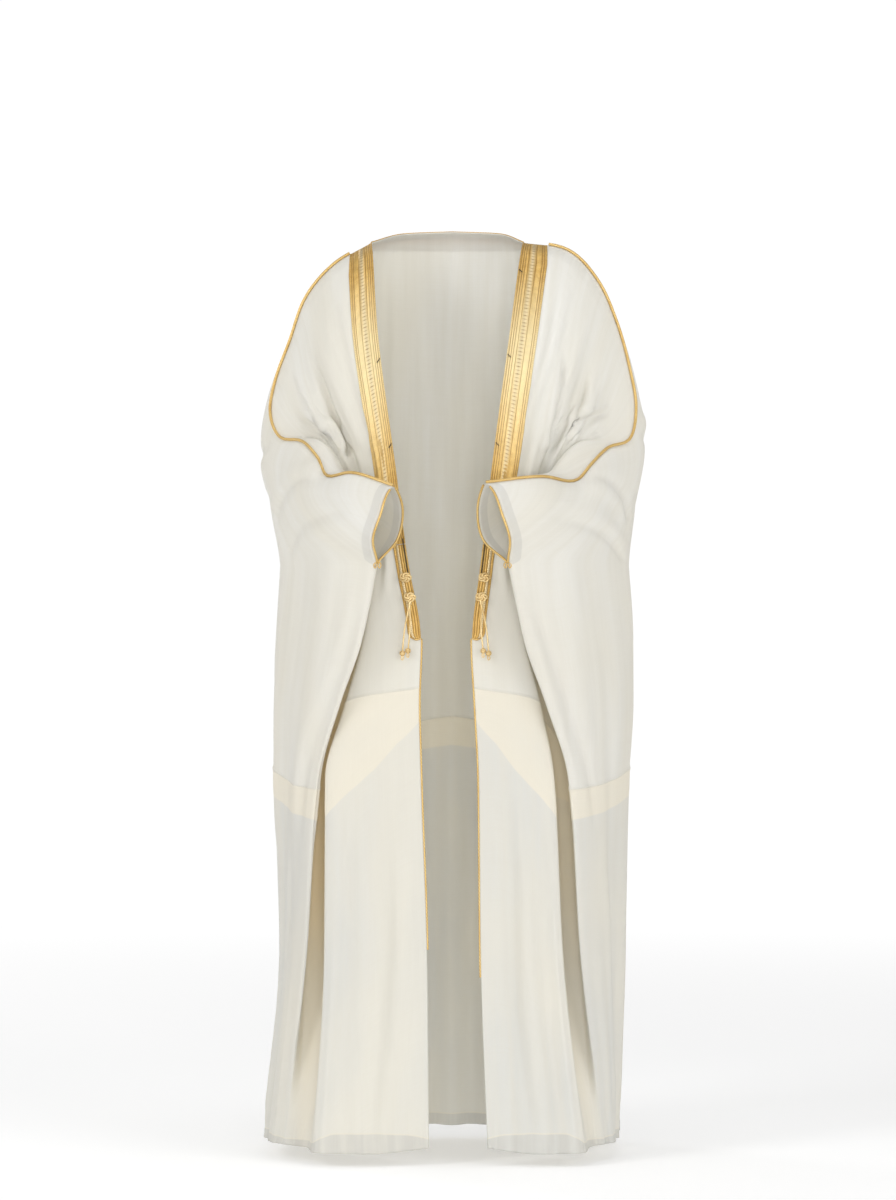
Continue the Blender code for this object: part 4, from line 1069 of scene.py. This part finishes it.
def edge_cord(grid, side, material):
    """Fine gold cord down the front edge from the band tail."""
    r = np.linspace(1.6, EDGE_CORD_END[side], 260)
    c = np.zeros(len(r))
    place, way = grid.sample(side, c, r)
    inner = grid.sample(side, c + 0.02, r)[0]
    out = unit(place - inner)
    line = place + out * (FINE_CORD_RADIUS * 0.9)
    parts = [rope(line, FINE_CORD_RADIUS, pitch=0.0045, sides=12)]
    return settle(merged(f"front_edge_cord_{side}_rope", parts, material),
                  (f"front_edge_cord_{side}",))


def neck_strip(grid, side, material):
    """Half of the band round the back of the neck."""
    table = np.array(BAND_PROFILE)
    marks = marks_of(table)
    c_line = np.linspace(1.0 + NECK_AT, 2.0, 190)
    rows = np.linspace(0, 0.25, 60)
    c = c_line[:, None] + 0 * marks[None, :]
    r = np.zeros_like(c)
    for k, at in enumerate(c_line):
        line = grid.sample(side, np.full(60, at), rows, True)[0]
        run = np.concatenate([[0.0], np.cumsum(np.linalg.norm(np.diff(line, axis=0), axis=1))])
        r[k] = np.interp(marks / table[-1, 0] * NECK_BAND_WIDTH, run, rows)
    place, way = grid.sample(side, c, r, True)
    step = np.linalg.norm(np.diff(place[:, len(marks) // 2], axis=0), axis=1)
    along = np.concatenate([[0.0], np.cumsum(step)])[:, None] * 1000 + 0 * r
    along = along - along[-1:]
    top, low, values = relief(place, way, marks[None, :] + 0 * r, along, table, LATTICE)
    return slab(f"neck_band_half_{side}", top, low, material, **values)


def tacks(grid, material):
    """Short dark tacking stitches over the inner edge of the bands."""
    parts = []
    for side, r in TACKS:
        c = np.array([-0.0, 0.010, 0.022])
        knots, run = grid.run(side, r)
        c = np.interp(np.array([0.0015, 0.0045, 0.0075]), run, knots)
        place, way = grid.sample(side, c, r + np.array([-0.004, 0.0, 0.004]))
        line = place + way * (CLOTH_WALL / 2 + BAND_BASE + 0.0016)
        parts.append(rope(smooth_line(line, 10), 0.0008, step=0.0008, pitch=0.003, sides=8))
    for side in SIDES:
        r = np.linspace(0.92, 1.075, 40)
        c = np.zeros(len(r))
        for k, v in enumerate(r):
            knots, run = grid.run(side, v)
            c[k] = np.interp(0.0034, run, knots)
        place, way = grid.sample(side, c, r)
        line = place + way * (CLOTH_WALL / 2 + BAND_BASE + 0.0012)
        parts.append(rope(line, 0.0009, pitch=0.004, sides=8))
    return settle(merged("tacking_stitches", parts, material))


def end_cord(grid, side, r, widths, material, name):
    """Rounded cord along the lower end of a band or a tail."""
    knots, run = grid.run(side, r)
    t = np.linspace(0, 1, 30)
    c = np.interp(widths[0] + (widths[1] - widths[0]) * t, run, knots)
    sink = 0.010 * np.sin(np.pi * t) ** 0.6
    place, way = grid.sample(side, c, r + sink)
    line = place + way * (CLOTH_WALL / 2 + 0.0016)
    return settle(merged(name, [rope(line, 0.0016, pitch=0.005, sides=12)], material))


class Nodes:
    """Short names for building a material's node tree."""

    def __init__(self, name):
        self.material = bpy.data.materials.new(name)
        self.material.use_nodes = True
        self.tree = self.material.node_tree
        self.shader = self.tree.nodes["Principled BSDF"]

    def add(self, kind, links=(), **settings):
        node = self.tree.nodes.new(kind)
        for key, value in settings.items():
            setattr(node, key, value)
        for key, value in dict(links).items():
            self.put(node.inputs[key], value)
        return node

    def put(self, socket, value):
        if isinstance(value, bpy.types.NodeSocket):
            self.tree.links.new(value, socket)
        else:
            socket.default_value = value

    def value(self, name):
        return self.add("ShaderNodeAttribute", attribute_name=name).outputs["Fac"]

    def math(self, operation, a, b=0.0):
        node = self.add("ShaderNodeMath", operation=operation)
        self.put(node.inputs[0], a)
        self.put(node.inputs[1], b)
        return node.outputs[0]

    def ramp(self, value, low, high, out_low=0.0, out_high=1.0):
        return self.add("ShaderNodeMapRange",
                        {"Value": value, "From Min": low, "From Max": high,
                         "To Min": out_low, "To Max": out_high}).outputs[0]

    def mix(self, amount, a, b):
        node = self.add("ShaderNodeMix", data_type="RGBA")
        self.put(node.inputs["Factor"], amount)
        for socket, value in ((node.inputs[6], a), (node.inputs[7], b)):
            self.put(socket, value if isinstance(value, bpy.types.NodeSocket) else (*value, 1.0))
        return node.outputs[2]

    def noise(self, vector, scale, detail=2.0):
        return self.add("ShaderNodeTexNoise",
                        {"Vector": vector, "Scale": scale, "Detail": detail}).outputs["Fac"]

    def bump(self, height, strength, distance):
        node = self.add("ShaderNodeBump", {"Height": height, "Strength": strength,
                                           "Distance": distance})
        self.put(self.shader.inputs["Normal"], node.outputs[0])


def cloth_material(name, light, deep):
    """Sheer fine wool-type cloth: slubs, faint vertical streaks, doubled places and painted warm
    shade in the valley folds.
    """
    n = Nodes(name)
    across, down = n.value("across"), n.value("down")
    threads = n.add("ShaderNodeCombineXYZ", {"X": n.math("MULTIPLY", across, 900.0),
                                             "Y": n.math("MULTIPLY", down, 14.0)}).outputs[0]
    picks = n.add("ShaderNodeCombineXYZ", {"X": n.math("MULTIPLY", across, 16.0),
                                           "Y": n.math("MULTIPLY", down, 800.0)}).outputs[0]
    broad = n.add("ShaderNodeCombineXYZ", {"X": n.math("MULTIPLY", across, 60.0),
                                           "Y": n.math("MULTIPLY", down, 3.0)}).outputs[0]
    warp = n.noise(threads, 1.0, 3.0)
    weft = n.noise(picks, 1.0, 3.0)
    streak = n.noise(broad, 1.0, 3.0)
    cloud = n.add("ShaderNodeCombineXYZ", {"X": n.math("MULTIPLY", across, 7.0),
                                           "Y": n.math("MULTIPLY", down, 2.4)}).outputs[0]
    colour = n.mix(n.ramp(n.value("level"), 0.4, 2.6), light, deep)
    colour = n.mix(n.ramp(n.noise(cloud, 1.0, 2.0), 0.40, 0.62, 0.0, 0.80), colour, CREAM_PATCH)
    colour = n.mix(n.ramp(streak, 0.32, 0.66, 0.0, 0.55), colour, CREAM_STREAK)
    doubled = n.math("MULTIPLY", n.ramp(n.value("tuck_edge"), -0.001, 0.002),
                     n.ramp(n.value("tuck_edge"), 0.002, 0.14, 0.85, 0.45))
    colour = n.mix(doubled, colour, CREAM_DOUBLED)
    # Painted warm shade in the valley folds
    colour = n.mix(n.math("MULTIPLY", n.value("valley_painted_shade"), 0.80), colour, OCHRE_VALLEY_PAINTED_SHADE)
    cuff = n.value("cuff_edge")
    facing = n.math("MULTIPLY", n.ramp(cuff, 0.003, 0.0045), n.ramp(cuff, 0.019, 0.0175))
    colour = n.mix(n.math("MULTIPLY", facing, 0.38), colour, GREY_FACING)
    hem = n.value("hem_edge")
    inside = n.math("MULTIPLY", n.ramp(hem, 0.0, 0.0012), n.ramp(streak, 0.35, 0.6, 0.25, 0.55))
    colour = n.mix(inside, colour, GREY_FACING)
    line = n.math("MULTIPLY", n.ramp(hem, -0.0004, 0.0006), n.ramp(hem, 0.0030, 0.0018))
    colour = n.mix(n.math("MULTIPLY", line, 0.6), colour, CREAM_DOUBLED)
    fibre = n.math("MULTIPLY", n.math("ADD", warp, weft), 0.5)
    colour = n.mix(n.ramp(fibre, 0.35, 0.65, 0.0, 0.16), colour, CREAM_THREAD)
    n.put(n.shader.inputs["Base Color"], colour)
    n.put(n.shader.inputs["Roughness"], n.ramp(fibre, 0.3, 0.7, 0.78, 0.92))
    n.shader.inputs["Sheen Weight"].default_value = 0.18
    n.shader.inputs["Sheen Roughness"].default_value = 0.5
    n.shader.inputs["Specular IOR Level"].default_value = 0.25
    n.bump(fibre, 0.25, 0.0006)
    through = n.add("ShaderNodeBsdfTranslucent", {"Color": colour})
    both = n.add("ShaderNodeMixShader")
    both.inputs[0].default_value = 0.40
    n.put(both.inputs[1], n.shader.outputs[0])
    n.put(both.inputs[2], through.outputs[0])
    n.put(n.tree.nodes["Material Output"].inputs["Surface"], both.outputs[0])
    return n.material


def gold_material(name, flat, lattice, dark, metal, rough):
    """Metal-thread embroidery: satin flats, silvery braid, painted shade in the grooves, painted
    highlights and glints.
    """
    n = Nodes(name)
    across, along = n.value("across"), n.value("along")
    place = n.add("ShaderNodeCombineXYZ", {"X": n.math("MULTIPLY", across, 1000.0),
                                           "Y": n.math("MULTIPLY", along, 1000.0)}).outputs[0]
    stitches = n.add("ShaderNodeTexWave", {"Vector": place, "Scale": 0.42, "Distortion": 1.4,
                                           "Detail": 2.0}, bands_direction="DIAGONAL").outputs[1]
    wear = n.noise(place, 0.09, 4.0)
    glint = n.noise(place, 1.1, 3.0)
    colour = n.mix(n.ramp(wear, 0.35, 0.65, 0.1, 0.8), flat, GOLD_WARM)
    # Painted highlight: a bright stretch along the band where the satin catches the light
    shine = n.math("MULTIPLY", n.ramp(along, 0.07, 0.19), n.ramp(along, 0.42, 0.24))
    colour = n.mix(n.math("MULTIPLY", shine, 0.58), colour, GOLD_GLINT)
    colour = n.mix(n.math("MULTIPLY", n.value("tone"), 0.85), colour, lattice)
    # Painted glints scattered over the metal
    colour = n.mix(n.ramp(glint, 0.52, 0.70, 0.0, 0.45), colour, GOLD_GLINT)
    # Painted shade in the sunken parts of the relief
    colour = n.mix(n.math("MULTIPLY", n.value("groove_shade"), 0.85), colour, dark)
    n.put(n.shader.inputs["Base Color"], colour)
    n.put(n.shader.inputs["Roughness"], n.ramp(glint, 0.3, 0.7, rough + 0.12, rough - 0.08))
    n.shader.inputs["Metallic"].default_value = metal
    n.bump(n.math("ADD", n.math("MULTIPLY", stitches, 0.6), n.math("MULTIPLY", glint, 0.6)),
           0.5, 0.0004)
    return n.material


def cord_material(name, crown):
    """Twisted gold cord: strand crowns in the cord's gold, painted shade between the strands,
    painted glints.
    """
    n = Nodes(name)
    where = n.add("ShaderNodeTexCoord").outputs["Object"]
    fine = n.noise(where, 1400.0, 2.0)
    wear = n.noise(where, 30.0, 3.0)
    # Painted shade between the strands of the cord
    colour = n.mix(n.ramp(n.value("strand"), 0.10, 0.75), GOLD_PAINTED_SHADE, crown)
    colour = n.mix(n.ramp(wear, 0.4, 0.65, 0.0, 0.5), colour, GOLD_WARM)
    # Painted glints on the strands
    colour = n.mix(n.ramp(fine, 0.55, 0.75, 0.0, 0.5), colour, GOLD_GLINT)
    n.put(n.shader.inputs["Base Color"], colour)
    n.put(n.shader.inputs["Roughness"], n.ramp(fine, 0.3, 0.7, 0.52, 0.34))
    n.shader.inputs["Metallic"].default_value = 0.45
    n.bump(fine, 0.4, 0.0003)
    return n.material


def dark_material(name):
    n = Nodes(name)
    where = n.add("ShaderNodeTexCoord").outputs["Object"]
    fine = n.noise(where, 900.0)
    n.put(n.shader.inputs["Base Color"], n.mix(fine, (0.03, 0.02, 0.012), (0.10, 0.07, 0.04)))
    n.shader.inputs["Roughness"].default_value = 0.7
    return n.material


def plain_material(name, rough):
    """Pale paper: a grey and its own light, both from numbers on its points."""
    n = Nodes(name)
    n.put(n.shader.inputs["Base Color"], n.mix(n.value("paper"), (0, 0, 0), (1, 1, 1)))
    n.shader.inputs["Roughness"].default_value = rough
    n.shader.inputs["Specular IOR Level"].default_value = 0.0
    n.shader.inputs["Emission Color"].default_value = (1.0, 1.0, 1.0, 1.0)
    n.put(n.shader.inputs["Emission Strength"], n.value("glow"))
    return n.material


def area_light(name, place, aim, size, power):
    data = bpy.data.lights.new(name, "AREA")
    data.shape = "RECTANGLE"
    data.size, data.size_y = size
    data.energy = power
    item = bpy.data.objects.new(name, data)
    item.location = place
    item.visible_camera = False
    item.rotation_euler = (Vector(aim) - Vector(place)).to_track_quat("-Z", "Y").to_euler()
    bpy.context.scene.collection.objects.link(item)


def stage():
    """Pale round floor that curves up into a wall on every side, soft lights, camera."""
    bend = np.linspace(0, math.pi / 2, 17)
    reach = np.concatenate([FLOOR_RINGS, WALL_REACH - WALL_BEND * (1 - np.sin(bend)), [WALL_REACH]])
    height = np.concatenate([0 * np.array(FLOOR_RINGS), WALL_BEND * (1 - np.cos(bend)), [WALL_TOP]])
    turn = np.linspace(0, 2 * np.pi, WALL_SIDES, endpoint=False)
    points = np.stack([reach[:, None] * np.cos(turn), reach[:, None] * np.sin(turn),
                       FLOOR_Z + height[:, None] + 0 * turn], -1)
    ids = np.arange(len(reach) * WALL_SIDES).reshape(len(reach), WALL_SIDES)
    far = np.roll(ids, -1, axis=1)
    rings = np.stack([ids[:-1], ids[1:], far[1:], far[:-1]], -1).reshape(-1, 4)
    row = np.arange(WALL_SIDES // 2 - 1)
    middle = np.stack([row, row + 1, WALL_SIDES - 2 - row, WALL_SIDES - 1 - row], -1)
    faces = np.concatenate([rings, middle])
    far_share = np.interp(reach, FAR_FROM, (0.0, 1.0))[:, None]
    far_glow = np.interp(np.sin(turn), GLOW_SIDE, GLOW_FAR)
    glow = GLOW_NEAR + (far_glow - GLOW_NEAR) * far_share
    paper = PAPER_NEAR + (PAPER_FAR - PAPER_NEAR) * far_share + 0 * turn
    floor = add_mesh("studio_floor", points.reshape(-1, 3), faces,
                     plain_material("studio_paper", 0.9), glow=glow, paper=paper)
    for light in LIGHTS:
        area_light(*light)
    world = bpy.data.worlds.new("studio_world")
    world.use_nodes = True
    back = world.node_tree.nodes["Background"]
    back.inputs["Color"].default_value = (1.0, 1.0, 1.0, 1.0)
    back.inputs["Strength"].default_value = WORLD_STRENGTH
    bpy.context.scene.world = world
    data = bpy.data.cameras.new("studio_camera")
    data.lens = CAMERA_LENS
    data.sensor_width = 36.0
    camera = bpy.data.objects.new("studio_camera", data)
    camera.location = CAMERA_PLACE
    camera.rotation_euler = (math.radians(90.0 - CAMERA_TILT), 0.0, 0.0)
    bpy.context.scene.collection.objects.link(camera)
    bpy.context.scene.camera = camera
    bpy.context.scene.view_settings.view_transform = "Standard"


def garment():
    grid = Grid()
    grid.raise_by(surface_relief)
    values = cloth_values(grid)
    upper_cloth = cloth_material("sheer_cloth_upper", CREAM_LIGHT, CREAM_MID)
    lower_cloth = cloth_material("sheer_cloth_lower", CREAM_MID, CREAM_LOW)
    zari = gold_material("zari_band", GOLD_SATIN, GOLD_LATTICE, GOLD_PAINTED_SHADE, 0.55, 0.40)
    cord = cord_material("twisted_gold_cord", GOLD_CORD)
    braided = cord_material("braided_gold_cord", GOLD_KNOT)
    upper_parts, lower_parts = [], []
    for side in SIDES:
        upper_parts += [grid.faces[(side, "front")], grid.faces[(side, "back")]]
        upper_parts.append(grid.faces[(side, "low")][:grid.tuck])
        lower_parts.append(grid.faces[(side, "low")][grid.tuck:])
    upper = cloth_piece(grid, "cloth_upper_width", upper_parts, values, upper_cloth)
    settle(upper, ("front_upper_right", "front_upper_left", "sleeve_right",
                                  "sleeve_left", "back_upper"))
    lower = cloth_piece(grid, "cloth_lower_width", lower_parts, values, lower_cloth)
    settle(lower, ("front_lower_right", "front_lower_left", "side_lower_right",
                                  "side_lower_left", "back_lower"))
    trims = []
    for side in SIDES:
        rows = np.linspace(0.006, WIDE_END, 560)
        widths = np.interp(rows, WIDE_BAND_R, WIDE_BAND_W)
        band = band_strip(grid, f"band_{side}_zari", side, rows, widths, BAND_PROFILE, LATTICE,
                          zari)
        settle(band, (f"band_{side}",))
        rows = np.linspace(WIDE_END + 0.002, 1.6, 220)
        widths = TAIL_WIDTH * np.interp(rows, TAIL_END_R, TAIL_END_SHARE)
        # The tail's along count starts past the band's painted highlight
        tail = band_strip(grid, f"band_tail_{side}_zari", side, rows, widths, TAIL_PROFILE,
                          TAIL_LATTICE, zari, begin=0.54)
        settle(tail, (f"band_tail_{side}",))
        trims.append(end_cord(grid, side, WIDE_END, (0.016, 0.040), cord, f"band_end_{side}"))
        trims.append(end_cord(grid, side, 1.590, (0.0, 0.011), cord, f"tail_end_{side}"))
        trims += [band, tail, seam_cord(grid, side, cord), cuff_cord(grid, side, cord)]
        trims.append(edge_cord(grid, side, cord))
        tassel(grid, side, braided)
    for side in SIDES:
        strip = neck_strip(grid, side, zari)
        settle(strip, ("neck_band",))
        trims.append(strip)
    trims.append(tacks(grid, dark_material("dark_tacking_thread")))


def surface_relief(side, c, r):
    """Tuck ridge, doubled layer and rolled hem, all under a millimetre or so."""
    under = (r - 2.0) * LOWER_DEPTH
    over = (r - 2.0) * 0.245
    away = np.where(r > 2.0, under, over)
    ridge = 0.0011 * np.exp(-(away / 0.0022) ** 2)
    layer = np.interp(c, TUCK_LAYER_C, TUCK_LAYER_DEPTH)
    double = 0.0006 * np.clip((layer - under) / 0.004, 0, 1) * (r > 2.0)
    above = (3.0 - r) * LOWER_DEPTH
    hem = 0.0005 * np.clip((np.interp(c, HEM_BAND_C, HEM_BAND_DEPTH) - above) / 0.004, 0, 1)
    wrinkle = 0.0009 * np.sin(c * 95 + 6 * np.sin(c * 23)) * np.exp(-(above / 0.03) ** 2)
    rolled = 0.0007 * np.clip((0.006 - above) / 0.003, 0, 1)
    return ridge + double + hem + wrinkle * (r > 2.5) + rolled


stage()
garment()
